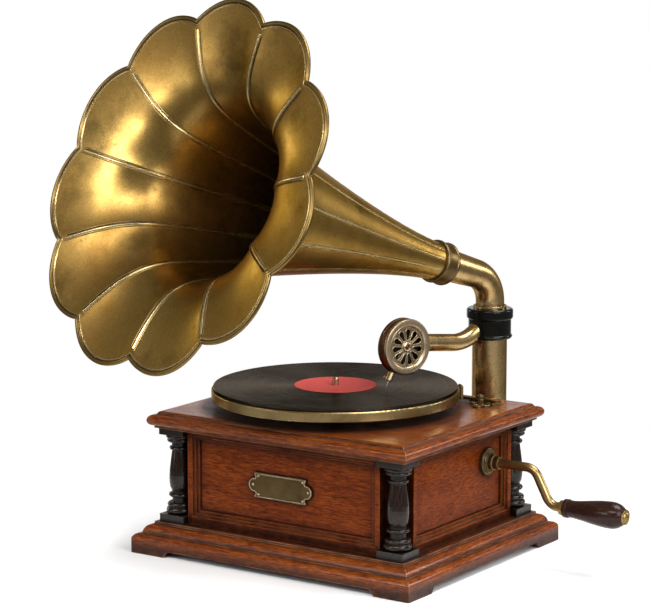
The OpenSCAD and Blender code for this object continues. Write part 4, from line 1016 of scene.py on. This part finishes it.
# The horn's deep setting darkens its throat with dirt and painted shade.
HORN_BRASS = Metal(
    "horn_brass", clean=(0.62, 0.39, 0.108), aged=(0.30, 0.16, 0.036), black=(0.055, 0.033, 0.011),
    wear_and_highlight_colour=(0.80, 0.60, 0.27), roughness=0.32, cloud_scale=11.0, spots=0.8, blotch=0.7, speckle=0.4,
    grime_and_shade=0.6, reach=0.003, spot_scale=150.0, relief=0.08, deep=0.85)
ROLL_BRASS = Metal(
    "roll_brass", clean=(0.30, 0.20, 0.068), aged=(0.15, 0.092, 0.028), black=(0.04, 0.025, 0.01),
    wear_and_highlight_colour=(0.6, 0.44, 0.18), roughness=0.34, cloud_scale=20.0, spots=0.6, relief=0.08)
# Brass lighter than the horn's, for the seam ribs and rim lines: it paints the highlights that the
# raised lines catch.
HIGHLIGHT_BRASS = Metal(
    "highlight_line_brass", clean=(0.86, 0.66, 0.32), aged=(0.58, 0.40, 0.15), black=(0.10, 0.06, 0.02),
    wear_and_highlight_colour=(0.92, 0.78, 0.48), roughness=0.26, cloud_scale=24.0, spots=0.4, blotch=0.2, speckle=0.1,
    grime_and_shade=0.25, relief=0.05)
PIPE_BRASS = Metal(
    "pipe_brass", clean=(0.78, 0.56, 0.26), aged=(0.44, 0.27, 0.10), black=(0.06, 0.03, 0.016),
    wear_and_highlight_colour=(0.86, 0.70, 0.42), roughness=0.26, cloud_scale=26.0, spots=0.7, relief=0.015, wear_and_highlight_share=0.4)
RIM_BRASS = Metal(
    "rim_brass", clean=(0.52, 0.38, 0.17), aged=(0.27, 0.175, 0.068), black=(0.06, 0.035, 0.017),
    wear_and_highlight_colour=(0.76, 0.58, 0.30), roughness=0.3, cloud_scale=20.0, spots=0.5, relief=0.06, wear_and_highlight_share=0.25)
DULL_BRASS = Metal(
    "dull_brass", clean=(0.22, 0.15, 0.066), aged=(0.11, 0.072, 0.03), black=(0.03, 0.018, 0.009),
    wear_and_highlight_colour=(0.66, 0.51, 0.27), roughness=0.4, cloud_scale=40.0, spots=0.6)
PLATE_BRASS = Metal(
    "plate_brass", clean=(0.125, 0.086, 0.038), aged=(0.07, 0.046, 0.02),
    black=(0.03, 0.018, 0.009), wear_and_highlight_colour=(0.6, 0.45, 0.22), roughness=0.42, cloud_scale=40.0,
    spots=0.6, relief=0.1)
CRANK_BRASS = Metal(
    "crank_brass", clean=(0.46, 0.33, 0.14), aged=(0.27, 0.18, 0.07), black=(0.05, 0.03, 0.014),
    wear_and_highlight_colour=(0.7, 0.54, 0.28), roughness=0.32, cloud_scale=30.0, spots=0.6, relief=0.06, wear_and_highlight_share=0.4)
PALE_BRASS = Metal(
    "pale_brass", clean=(0.72, 0.57, 0.38), aged=(0.47, 0.34, 0.20), black=(0.06, 0.032, 0.018),
    wear_and_highlight_colour=(0.88, 0.76, 0.56), roughness=0.3, cloud_scale=45.0, spots=0.5, relief=0.05, wear_and_highlight_share=0.4)
OLIVE_BRASS = Metal(
    "olive_brass", clean=(0.42, 0.32, 0.17), aged=(0.24, 0.17, 0.08), black=(0.03, 0.018, 0.01),
    wear_and_highlight_colour=(0.7, 0.56, 0.34), roughness=0.35, cloud_scale=60.0, spots=0.6, relief=0.05, wear_and_highlight_share=0.4)
MOTOR_BRASS = Metal(
    "motor_brass", clean=(0.6, 0.42, 0.16), aged=(0.42, 0.27, 0.09), black=(0.08, 0.05, 0.02),
    wear_and_highlight_colour=(0.7, 0.54, 0.26), roughness=0.28, cloud_scale=30.0, spots=0.3)
BLACK_IRON = Metal(
    "black_iron", clean=(0.006, 0.0062, 0.005), aged=(0.003, 0.0032, 0.0025),
    black=(0.002, 0.002, 0.002), wear_and_highlight_colour=(0.05, 0.042, 0.03), roughness=0.16, cloud_scale=50.0,
    spots=0.5, brushing=0.0, wear_and_highlight_share=0.25, metallic=0.0, specular=0.22, edge=(1.0, 1.0, 1.0))
STEEL = Metal(
    "steel", clean=(0.55, 0.55, 0.55), aged=(0.4, 0.39, 0.37), black=(0.1, 0.08, 0.06),
    wear_and_highlight_colour=(0.7, 0.7, 0.7), roughness=0.26, cloud_scale=60.0, spots=0.2, edge=(0.8, 0.8, 0.8))
BRONZED = Metal(
    "bronzed_shell", clean=(0.17, 0.095, 0.045), aged=(0.08, 0.04, 0.02),
    black=(0.02, 0.008, 0.006), wear_and_highlight_colour=(0.4, 0.2, 0.1), roughness=0.3, cloud_scale=60.0, spots=0.4,
    metallic=0.8)
AMBER = Metal(
    "dark_amber", clean=(0.16, 0.05, 0.016), aged=(0.10, 0.03, 0.012), black=(0.02, 0.01, 0.006),
    wear_and_highlight_colour=(0.3, 0.12, 0.05), roughness=0.2, cloud_scale=90.0, spots=0.3, metallic=0.6)
LABEL = Plain(
    "label_paper", first=(0.62, 0.072, 0.063), second=(0.74, 0.114, 0.094), roughness=0.6,
    depth=0.03 * MM)
FELT = Plain(
    "felt", first=(0.012, 0.022, 0.014), second=(0.03, 0.05, 0.03), roughness=0.95, depth=0.4 * MM,
    sheen=0.3)
RUBBER = Plain("gasket_rubber", first=(0.06, 0.02, 0.014), second=(0.09, 0.03, 0.02), roughness=0.6)
LEATHER = Plain(
    "pad_leather", first=(0.04, 0.022, 0.012), second=(0.075, 0.04, 0.02), roughness=0.65,
    depth=0.25 * MM)
MICA = Plain(
    "mica", first=(0.020, 0.013, 0.008), second=(0.045, 0.03, 0.018), roughness=0.3, mottle=60.0)


# Sub-assemblies


@dataclass
class Cabinet:
    """Panelled case with turned columns, base moulding and top board."""

    inlay: float = 14 * MM
    border_r: float = 0.45 * MM
    border_inset: float = 1.2 * MM
    border_sides: int = 2
    front_depth: float = 0.05 * MM
    same_spot: float = 0.01 * MM

    def mitre_of(self, node: str) -> tuple[float, float, float, float]:
        """Gives the middle and half sizes of a solid's box in plan.

        Args:
            node: Name of the solid.

        Returns:
            The middle's x and y, and half the width and depth.
        """
        low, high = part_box(node)
        middle = [(low[i] + high[i]) / 2 for i in range(2)]
        half = [(high[i] - low[i]) / 2 for i in range(2)]
        return (*middle, *half)

    def rim_loops(self, bm: bmesh.types.BMesh) -> list[list[Vector]]:
        """Follows the open edges of a mesh.

        Args:
            bm: The mesh.

        Returns:
            The points of each loop.
        """
        left = {e for e in bm.edges if e.is_boundary}
        loops = []
        while left:
            loop = [*left.pop().verts]
            while step := next((e for e in loop[-1].link_edges if e in left), None):
                left.remove(step)
                loop.append(step.other_vert(loop[-1]))
            loops.append([v.co.copy() for v in loop[:-1]])
        return loops

    def plate_outline(self) -> list[Vector]:
        """Gives the name plate's front outline, a little inside its edge.

        Returns:
            The points of the outline.
        """
        bm = bmesh.new()
        bm.from_mesh(frame["nodes"]["name_plate"].data)
        front = min(v.co.y for v in bm.verts)
        behind = [v for v in bm.verts if v.co.y > front + self.front_depth]
        bmesh.ops.delete(bm, geom=behind, context="VERTS")
        bmesh.ops.remove_doubles(bm, verts=bm.verts, dist=self.same_spot)
        loops = self.rim_loops(bm)
        bm.free()
        outline = max(loops, key=lambda loop: max(p.x for p in loop) - min(p.x for p in loop))
        low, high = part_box("name_plate")
        middle = Workshop.centre("name_plate")
        shrink_x = 1 - 2 * self.border_inset / (high[0] - low[0])
        shrink_z = 1 - 2 * self.border_inset / (high[2] - low[2])
        return [Vector((middle.x + (p.x - middle.x) * shrink_x, front,
                        middle.z + (p.z - middle.z) * shrink_z)) for p in outline]

    def build(self) -> None:
        """Dresses the case's solids and makes the name plate's border."""
        # The base and top mouldings get stronger edge lightening: partly wear, partly painted highlight.
        base = Wood("base_mahogany", **MOULDED_MAHOGANY, mitre=self.mitre_of("base_moulding"),
                    roughness=0.16, specular=0.24, wear_and_highlight_share=0.6)
        top = Wood("top_mahogany", **MOULDED_MAHOGANY, mitre=self.mitre_of("top_board"),
                   inlay=self.inlay, roughness=0.2, specular=0.2, wear_and_highlight_share=0.6)
        rails = Wood("rail_mahogany", **MAHOGANY, specular=0.08)
        side_rails = Wood("side_rail_mahogany", **MAHOGANY, grain=Grain.ALONG_Y, specular=0.045)
        # The corner posts are darkened to paint the shade behind the columns.
        shaded_posts = Wood("shaded_post_mahogany", **SHADED_MAHOGANY, grain=Grain.UPRIGHT)
        ebony = Wood("ebonised_wood", **EBONY, grain=Grain.UPRIGHT, roughness=0.13, specular=0.3,
                     relief=0.02, reach=0.006)
        Workshop.dress(base, "base_moulding")
        Workshop.dress(top, "top_board")
        Workshop.dress(rails, "front_frame", "back_frame", "front_panel", "back_panel", "bottom_board")
        Workshop.dress(side_rails, "left_frame", "right_frame", "left_panel", "right_panel")
        Workshop.dress(shaded_posts, "corner_posts")
        Workshop.dress(ebony, "column_front_left", "column_front_right", "column_back_left",
                       "column_back_right", "column_blocks")
        Workshop.dress(PLATE_BRASS, "name_plate")
        Workshop.dress(PALE_BRASS, "name_plate_pins")
        border = Workshop.wires([(self.plate_outline(), True)], self.border_r, self.border_sides)
        Workshop.piece("name_plate_border", border, (PALE_BRASS,), "cabinet", "antique_brass",
                       Shading.SMOOTH)


@dataclass
class Turntable:
    """Platter, felt, record, label and spindle."""

    groove_inner: float = 48 * MM
    groove_outer: float = 122 * MM

    def build(self) -> None:
        """Dresses the turntable."""
        axis = Workshop.joint("turntable_spin")
        shellac = Shellac("shellac", centre=(axis.x, axis.y), inner=self.groove_inner,
                          outer=self.groove_outer)
        Workshop.dress(RIM_BRASS, "platter")
        Workshop.dress(PALE_BRASS, "spindle")
        Workshop.dress(FELT, "felt_mat")
        Workshop.dress(LABEL, "record_label")
        Workshop.dress(shellac, "record")


@dataclass
class Brake:
    """Brake beside the platter: scroll plate, lever and pad."""

    def build(self) -> None:
        """Dresses the brake."""
        Workshop.dress(DULL_BRASS, "brake_plate", "brake_lever")
        Workshop.dress(LEATHER, "brake_pad")


@dataclass
class Crank:
    """Winding crank with its rosette and turned handle."""

    def build(self) -> None:
        """Dresses the crank."""
        handle = Wood("handle_wood", **HANDLE_WOOD, roughness=0.24, specular=0.2, relief=0.04)
        Workshop.dress(CRANK_BRASS, "crank_rod")
        Workshop.dress(DULL_BRASS, "crank_escutcheon")
        Workshop.dress(handle, "crank_handle")
        Workshop.dress(STEEL, "crank_pinion")


@dataclass
class Pillar:
    """Pillar behind the case with its bracket, sleeve and socket ring."""

    def build(self) -> None:
        """Dresses the pillar."""
        Workshop.dress(PIPE_BRASS, "pillar_tube")
        Workshop.dress(BLACK_IRON, "rear_bracket", "horn_socket_ring")
        Workshop.dress(STEEL, "bracket_screws")
        Workshop.dress(MOTOR_BRASS, "bearing_sleeve")


@dataclass
class ToneArm:
    """Swinging arm with its collar."""

    def build(self) -> None:
        """Dresses the tone arm."""
        Workshop.dress(BLACK_IRON, "arm_collar")
        Workshop.dress(PIPE_BRASS, "tone_arm", "sound_box_crook")


@dataclass
class SoundBox:
    """Sound box with its slotted face, diaphragm and needle, and its turned profiles in millimetres."""

    slots: int = 11
    slot_turn: float = 0.25
    slot_in: float = 8.2 * MM
    slot_out: float = 15.5 * MM
    slot_in_r: float = 1.4 * MM
    slot_out_r: float = 3.2 * MM
    slot_steps: int = 8
    lip_r: float = 0.38 * MM
    lip_sides: int = 1
    grille_r: float = 20.9 * MM
    grille_t: float = 1.2 * MM
    face_rise: float = 5.85 * MM
    beads: int = 64
    bead_r: float = 0.55 * MM
    bead_ring: float = 19.8 * MM
    bezel: tuple[Pair, ...] = (
        (20.7, 0.2), (20.7, 2.0), (21.5, 2.9), (22.4, 3.2), (22.8, 3.0), (23.2, 3.3), (26.6, 3.5),
        (27.9, 3.1), (28.6, 2.2), (28.8, 1.2), (28.3, 0.2), (20.7, 0.2))
    bezel_steps: int = 96
    hub: tuple[Pair, ...] = (
        (2.7, 1.2), (2.7, 2.6), (3.3, 3.1), (4.3, 3.0), (5.0, 2.5), (5.2, 1.9), (6.0, 1.9),
        (6.3, 1.5), (6.3, 1.2))
    hub_steps: int = 40
    dome: tuple[Pair, ...] = ((0.0, 3.7), (0.9, 3.55), (1.7, 3.15), (2.3, 2.5), (2.75, 1.6))
    dome_steps: int = 32

    def matrix(self) -> Matrix:
        """Gives the face's frame: z out of the face, x towards the needle.

        Returns:
            The frame, in the model's frame.
        """
        middle = Workshop.centre("sound_box_diaphragm")
        faces = frame["nodes"]["sound_box_diaphragm"].data.polygons
        axis = max(faces, key=lambda face: face.area).normal.copy()
        if axis.dot(Workshop.centre("sound_box_face") - middle) < 0:
            axis.negate()
        down = Workshop.centre("needle") - middle
        down = (down - axis * down.dot(axis)).normalized()
        side = axis.cross(down)
        turn = Matrix((down, side, axis)).transposed().to_4x4()
        return Matrix.Translation(middle + axis * self.face_rise) @ turn

    @staticmethod
    def ring(radius: float, count: int) -> list[Vector]:
        """Gives points spaced evenly round a circle in the plane of x and y."""
        turns = (2 * math.pi * i / count for i in range(count))
        return [Vector((math.cos(turn), math.sin(turn), 0)) * radius for turn in turns]

    def slot(self, number: int) -> list[Vector]:
        """Gives the outline of one slot, which widens towards the rim.

        Args:
            number: Number of the slot.

        Returns:
            The points of the outline.
        """
        turn = Matrix.Rotation(2 * math.pi * (number + self.slot_turn) / self.slots, 3, "Z")
        ends = ((self.slot_out, self.slot_out_r, -90), (self.slot_in, self.slot_in_r, 90))
        points = []
        for x, r, first in ends:
            for i in range(self.slot_steps + 1):
                a = math.radians(first + 180 * i / self.slot_steps)
                points.append(turn @ Vector((x + r * math.cos(a), r * math.sin(a), 0)))
        return points

    def face(self) -> bmesh.types.BMesh:
        """Makes the bezel, the slotted grille with its lips, a beaded ring, the hub and its dome.

        Returns:
            The face, in the model's frame.
        """
        bm = Workshop.turned(self.bezel, self.bezel_steps)
        slots = [self.slot(i) for i in range(self.slots)]
        plate = Workshop.pierced([self.ring(self.grille_r, self.bezel_steps), *slots], self.grille_t)
        bmesh.ops.translate(plate, verts=plate.verts, vec=(0, 0, self.grille_t))
        Workshop.join(bm, plate, 1)
        top = Vector((0, 0, 1.5 * self.grille_t))
        lips = [([p + top for p in slot], True) for slot in slots]
        Workshop.join(bm, Workshop.wires(lips, self.lip_r, self.lip_sides))
        for spot in self.ring(self.bead_ring, self.beads):
            bmesh.ops.create_icosphere(bm, subdivisions=1, radius=self.bead_r,
                                       matrix=Matrix.Translation(spot + top))
        Workshop.join(bm, Workshop.turned(self.hub, self.hub_steps))
        Workshop.join(bm, Workshop.turned(self.dome, self.dome_steps), 2)
        bmesh.ops.transform(bm, matrix=self.matrix(), verts=bm.verts)
        return bm

    def build(self) -> None:
        """Makes the face and dresses the sound box's solids."""
        finishes = (PALE_BRASS, OLIVE_BRASS, AMBER)
        piece = Workshop.piece("sound_box_grille", self.face(), finishes, "sound_box", "bright_brass")
        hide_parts("sound_box_face")
        Workshop.dress(BRONZED, "sound_box_shell")
        Workshop.dress(PALE_BRASS, "sound_box_face", "stylus_bar", "needle_screw")
        Workshop.dress(MICA, "sound_box_diaphragm")
        Workshop.dress(RUBBER, "sound_box_gaskets")
        Workshop.dress(STEEL, "needle")


@dataclass
class Horn:
    """Petalled horn: bell sheet with wired seams and a rolled edge, ferrule and elbow."""

    petals: int = 11
    throat_r: float = 19.6 * MM
    notch_r: float = 164 * MM
    petal_rise: float = 16 * MM
    seat: float = 80 * MM
    start: float = 92 * MM
    length: float = 441 * MM
    wall: float = 1.2 * MM
    roll_r: float = 2.4 * MM
    roll_sides: int = 4
    seam_r: float = 1.5 * MM
    seam_sides: int = 3
    seam_start: float = 0.45
    seam_from: float = 0.004
    seam_share: float = 0.993
    seam_steps: int = 70
    seam_line: float = 2.7 * MM
    line_r: float = 0.55 * MM
    line_sides: int = 1
    rim_line: float = 1.0 * MM
    rim_line_r: float = 0.8 * MM
    rim_steps: int = 24
    corner_z: float = 266.421 * MM
    heading: float = 257.6
    tilt: float = 17.3
    mouth_bend: float = 5.4
    across: int = 16
    along: int = 72
    crowding: float = 1.7
    slow_share: float = 0.53
    slow_power: float = 1.35
    lip_share: float = 0.038
    bulge_power: float = 20.0
    slope_step: float = 1e-3
    same_spot: float = 1e-5

    @property
    def run(self) -> float:
        """Length of the bell along its axis."""
        return self.length - self.start

    def spread(self, t: float) -> float:
        """Gives the bell's radius at its seams.

        Args:
            t: Share of the bell's length.

        Returns:
            The radius: a slow curve over the length with a late turn at the lip.
        """
        start = math.exp(-1 / self.lip_share)
        lip = (math.exp(-(1 - t) / self.lip_share) - start) / (1 - start)
        share = self.slow_share * t ** self.slow_power + (1 - self.slow_share) * lip
        return self.throat_r + (self.notch_r - self.throat_r) * share

    def slope(self, t: float) -> float:
        """Gives the sheet's angle from the axis.

        Args:
            t: Share of the bell's length.

        Returns:
            The angle, in radians.
        """
        low, high = max(t - self.slope_step, 0.0), min(t + self.slope_step, 1.0)
        return math.atan2(self.spread(high) - self.spread(low), self.run * (high - low))

    def spot(self, petal: float, u: float, t: float, lift: float = 0.0, out: float = 0.0) -> Vector:
        """Gives a point of the bell in the horn's own frame, with its axis along z.

        Args:
            petal: Number of the petal.
            u: Share across the petal, from -1 at one seam to 1 at the next.
            t: Share of the bell's length.
            lift: Distance off the sheet, away from the axis.
            out: Distance along the sheet, towards the mouth.

        Returns:
            The point.
        """
        slope = self.slope(t)
        across, along = math.sin(slope), math.cos(slope)
        bulge = self.petal_rise * t ** self.bulge_power * (1 - u * u)
        r = self.spread(t) + bulge + lift * along + out * across
        angle = math.radians((petal + u / 2) * 360 / self.petals + 180)
        z = self.start + self.run * t - lift * across + out * along
        return Vector((r * math.cos(angle), r * math.sin(angle), z))

    def matrix(self) -> Matrix:
        """Gives the horn's frame in the model's frame.

        Returns:
            The frame.
        """
        post = Workshop.joint("horn_swivel")
        turn = Matrix.Rotation(math.radians(self.heading), 4, "Z")
        fall = Matrix.Rotation(math.radians(90 - self.tilt), 4, "Y")
        return Matrix.Translation((post.x, post.y, self.corner_z)) @ turn @ fall

    def bend(self, bm: bmesh.types.BMesh) -> None:
        """Tilts the bell's rings more and more towards the mouth.

        Args:
            bm: The bell in the horn's own frame.
        """
        for v in bm.verts:
            t = min(max((v.co.z - self.start) / self.run, 0.0), 1.0)
            middle = self.start + self.run * t
            turn = math.radians(self.mouth_bend) * t * t
            x, z = v.co.x, v.co.z - middle
            v.co.x = x * math.cos(turn) - z * math.sin(turn)
            v.co.z = middle + x * math.sin(turn) + z * math.cos(turn)

    def share(self, k: float) -> float:
        """Spaces the rings closer towards the mouth."""
        return 1 - (1 - k) ** self.crowding

    def sheet(self) -> bmesh.types.BMesh:
        """Bends one petal from a grid, repeats it round the axis and gives it a wall.

        Returns:
            The bell's sheet in the horn's own frame.
        """
        bm = bmesh.new()
        bmesh.ops.create_grid(bm, x_segments=self.across, y_segments=self.along, size=0.5)
        for v in bm.verts:
            v.co = self.spot(0, 2 * v.co.x, self.share(min(max(v.co.y + 0.5, 0.0), 1.0)))
        others = self.petals - 1
        bmesh.ops.spin(bm, geom=bm.verts[:] + bm.edges[:] + bm.faces[:], cent=Workshop.ORIGIN,
                       axis=Workshop.UP, angle=2 * math.pi / self.petals * others, steps=others,
                       use_duplicate=True)
        bmesh.ops.remove_doubles(bm, verts=bm.verts, dist=self.same_spot)
        throat = [e for e in bm.edges if e.is_boundary and e.verts[0].co.z < self.start + MM]
        pulled = bmesh.ops.extrude_edge_only(bm, edges=throat)["geom"]
        back = [g for g in pulled if isinstance(g, bmesh.types.BMVert)]
        bmesh.ops.translate(bm, verts=back, vec=(0, 0, self.seat - self.start))
        bmesh.ops.recalc_face_normals(bm, faces=bm.faces)
        bm.faces.ensure_lookup_table()
        first = bm.faces[0]
        middle = first.calc_center_median()
        if first.normal.x * middle.x + first.normal.y * middle.y < 0:
            bmesh.ops.reverse_faces(bm, faces=bm.faces)
        bmesh.ops.solidify(bm, geom=bm.faces[:], thickness=self.wall)
        return bm

    def seam_paths(self, beside: float, lift: float) -> list[Path]:
        """Gives the paths of the wires along the seams.

        Args:
            beside: Distance of the wire from the seam.
            lift: Distance off the sheet, away from the axis.

        Returns:
            The points of each path, and that it is open.
        """
        paths = []
        for petal in range(self.petals):
            path = []
            for i in range(self.seam_steps + 1):
                t = self.share(i / self.seam_steps) * self.seam_share + self.seam_from
                narrow = self.seam_start + (1 - self.seam_start) * t
                u = beside * narrow * self.petals / (math.pi * self.spread(t))
                path.append(self.spot(petal, -1 + u, t, lift))
            paths.append((path, False))
        return paths

    def rim_path(self, lift: float, out: float) -> Path:
        """Gives a path round the mouth.

        Args:
            lift: Distance off the sheet, away from the axis.
            out: Distance beyond the sheet's edge.

        Returns:
            The points of the path, and that it is closed.
        """
        shares = [-1 + 2 * i / self.rim_steps for i in range(self.rim_steps)]
        return [self.spot(p, u, 1.0, lift, out) for p in range(self.petals) for u in shares], True

    def build(self) -> None:
        """Makes the bell and dresses the horn's other solids."""
        bell = self.sheet()
        inner, outer, middle = -self.wall, 0.0, -self.wall / 2
        ribs = self.seam_paths(0.0, middle)
        Workshop.join(bell, Workshop.wires(ribs, self.seam_r, self.seam_sides, self.seam_start), 1)
        fine = [path for side in (-1, 1) for lift in (inner, outer)
                for path in self.seam_paths(side * self.seam_line, lift)]
        Workshop.join(bell, Workshop.wires(fine, self.line_r, self.line_sides, self.seam_start), 2)
        edges = [self.rim_path(lift, -self.rim_line) for lift in (inner, outer)]
        Workshop.join(bell, Workshop.wires(edges, self.rim_line_r, self.line_sides), 1)
        roll = [self.rim_path(middle, self.roll_r)]
        Workshop.join(bell, Workshop.wires(roll, self.roll_r, self.roll_sides), 2)
        self.bend(bell)
        bmesh.ops.transform(bell, matrix=self.matrix(), verts=bell.verts)
        # The seam ribs and rim lines take the lighter brass that paints their highlights.
        finishes = (HORN_BRASS, HIGHLIGHT_BRASS, ROLL_BRASS)
        piece = Workshop.piece("horn_bell_sheet", bell, finishes, "horn", "antique_brass")
        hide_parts("horn_bell")
        Workshop.dress(HORN_BRASS, "horn_bell")
        Workshop.dress(PIPE_BRASS, "horn_elbow")
        Workshop.dress(DULL_BRASS, "horn_ferrule")


@dataclass
class Motor:
    """Spring motor under the top board."""

    def build(self) -> None:
        """Dresses the motor."""
        Workshop.dress(BLACK_IRON, "motor_plate", "lower_plate")
        Workshop.dress(STEEL, "motor_posts", "motor_bolts", "mainspring", "winding_wheel")
        Workshop.dress(MOTOR_BRASS, "spindle_bearing", "spindle_wheel", "intermediate_gear",
                       "barrel_drum", "governor")


# Studio


@dataclass(frozen=True)
class Lamp:
    """A soft rectangular lamp that faces the object: place and size in metres, power in watts."""

    name: str
    place: Triple
    size: Pair
    power: float

    def build(self) -> None:
        """Adds the lamp."""
        data = bpy.data.lights.new(self.name, "AREA")
        data.shape = "RECTANGLE"
        data.size, data.size_y = self.size
        data.energy = self.power
        obj = Workshop.put(self.name, data)
        obj.matrix_world = Workshop.aim(Vector(self.place), LAMP_TARGET)


LAMP_TARGET = Vector((0, 0, 0.25))
LAMPS = (
    Lamp("key", (-1.0, -2.0, 1.35), (0.5, 1.5), 22),
    Lamp("low left", (-1.75, -1.7, 0.45), (0.4, 0.8), 3),
    Lamp("left", (-2.2, 0.2, 0.6), (0.6, 0.6), 5),
    Lamp("right", (2.2, -0.7, 1.2), (1.5, 1.5), 44),
    Lamp("top", (0.7, 0.8, 2.3), (1.2, 1.2), 46),
    Lamp("front top", (0.5, -2.0, 2.1), (2.4, 0.35), 40),
    Lamp("back right", (1.5, 1.9, 0.9), (0.5, 0.5), 10),
)


@dataclass
class Studio:
    """Camera, floor, backdrop, lamps and world, with the camera's places in millimetres."""

    eye: Triple = (1379.5, -2064.1, 677.2)
    target: Triple = (-74.8, 72.1, 252.9)
    lens: float = 142.3
    sensor: float = 36.0
    far: float = 50.0
    pale: Colour = (0.95, 0.95, 0.95)
    floor_r: float = 0.85
    floor_drop: float = 0.2 * MM
    floor_steps: int = 96
    fade: Pair = (0.34, 0.75)
    wall_r: float = 3.0
    wall_half: float = 0.5
    wall_span: Pair = (-1.2, 0.92)
    wall_steps: int = 24
    ambient: float = 0.18

    def camera(self) -> None:
        """Sets the camera at the photograph's angle."""
        data = bpy.data.cameras.new("camera")
        data.lens = self.lens
        data.sensor_width = self.sensor
        data.clip_end = self.far
        obj = Workshop.put("camera", data)
        obj.matrix_world = Workshop.aim(Vector(self.eye) * MM, Vector(self.target) * MM)
        bpy.context.scene.camera = obj

    @staticmethod
    def stand(name: str, bm: bmesh.types.BMesh) -> Nodes:
        """Stages a surface that isn't part of the object.

        Args:
            name: Name of the surface.
            bm: Its mesh, which is freed.

        Returns:
            The nodes of its new, empty material.
        """
        mesh = bpy.data.meshes.new(name)
        bm.to_mesh(mesh)
        bm.free()
        obj = Workshop.put(name, mesh)
        made = bpy.data.materials.new(name)
        made.use_nodes = True
        made.node_tree.nodes.clear()
        mesh.materials.append(made)
        return Nodes(made.node_tree)

    def blend(self, n: Nodes, share: Feed, second: bpy.types.Node) -> None:
        """Ends a material in a mix of a pale matt shader and another.

        Args:
            n: Nodes of the material.
            share: Share of the other shader.
            second: The other shader.
        """
        matt = n.add("ShaderNodeBsdfDiffuse")
        n.feed(self.pale, matt.inputs["Color"])
        mixed = n.add("ShaderNodeMixShader")
        n.feed(share, mixed.inputs[0])
        n.feed(matt.outputs[0], mixed.inputs[1])
        n.feed(second.outputs[0], mixed.inputs[2])
        out = n.add("ShaderNodeOutputMaterial")
        n.feed(mixed.outputs[0], out.inputs["Surface"])

    def floor(self) -> None:
        """Lays a pale floor that fades out round the object."""
        ground = bmesh.new()
        bmesh.ops.create_circle(ground, cap_ends=True, segments=self.floor_steps, radius=self.floor_r)
        bmesh.ops.translate(ground, verts=ground.verts, vec=(0, 0, -self.floor_drop))
        n = self.stand("floor", ground)
        reach = n.vectors("LENGTH", n.place()).outputs["Value"]
        self.blend(n, n.remap(reach, *self.fade), n.add("ShaderNodeBsdfTransparent"))

    def backdrop(self) -> None:
        """Bends a wall behind the object that shows plain white."""
        wall = bmesh.new()
        way = Vector(self.target) - Vector(self.eye)
        start = math.atan2(way.y, way.x) - self.wall_half
        foot = Vector((math.cos(start), math.sin(start), 0)) * self.wall_r
        ends = [wall.verts.new(foot + Vector((0, 0, z))) for z in self.wall_span]
        edge = wall.edges.new(ends)
        bmesh.ops.spin(wall, geom=[*ends, edge], cent=Workshop.ORIGIN, axis=Workshop.UP,
                       angle=2 * self.wall_half, steps=self.wall_steps)
        n = self.stand("backdrop", wall)
        rays = n.add("ShaderNodeLightPath").outputs
        seen = n.math("MAXIMUM", rays["Is Camera Ray"], rays["Is Glossy Ray"])
        seen = n.math("MAXIMUM", seen, rays["Is Transmission Ray"])
        white = n.add("ShaderNodeEmission")
        white.inputs["Strength"].default_value = 1.0
        self.blend(n, seen, white)

    def world(self) -> None:
        """Gives dim soft light all round."""
        made = bpy.data.worlds.new("studio")
        bpy.context.scene.world = made
        made.use_nodes = True
        made.node_tree.nodes.clear()
        n = Nodes(made.node_tree)
        light = n.add("ShaderNodeBackground")
        n.feed((1.0, 1.0, 1.0), light.inputs["Color"])
        light.inputs["Strength"].default_value = self.ambient
        out = n.add("ShaderNodeOutputWorld")
        n.feed(light.outputs[0], out.inputs["Surface"])

    def build(self) -> None:
        """Sets up the studio."""
        bpy.context.scene.view_settings.view_transform = "Standard"
        self.camera()
        self.floor()
        self.backdrop()
        self.world()
        for lamp in LAMPS:
            lamp.build()


def main() -> None:
    """Builds the sub-assemblies in order."""
    logging.basicConfig(level=logging.INFO, format="%(message)s")
    parts = (Studio(), Cabinet(), Turntable(), Brake(), Crank(), Pillar(), ToneArm(), SoundBox(),
             Horn(), Motor())
    for part in parts:
        part.build()
        LOG.info("built %s", type(part).__name__)


if __name__ == "__main__":
    main()
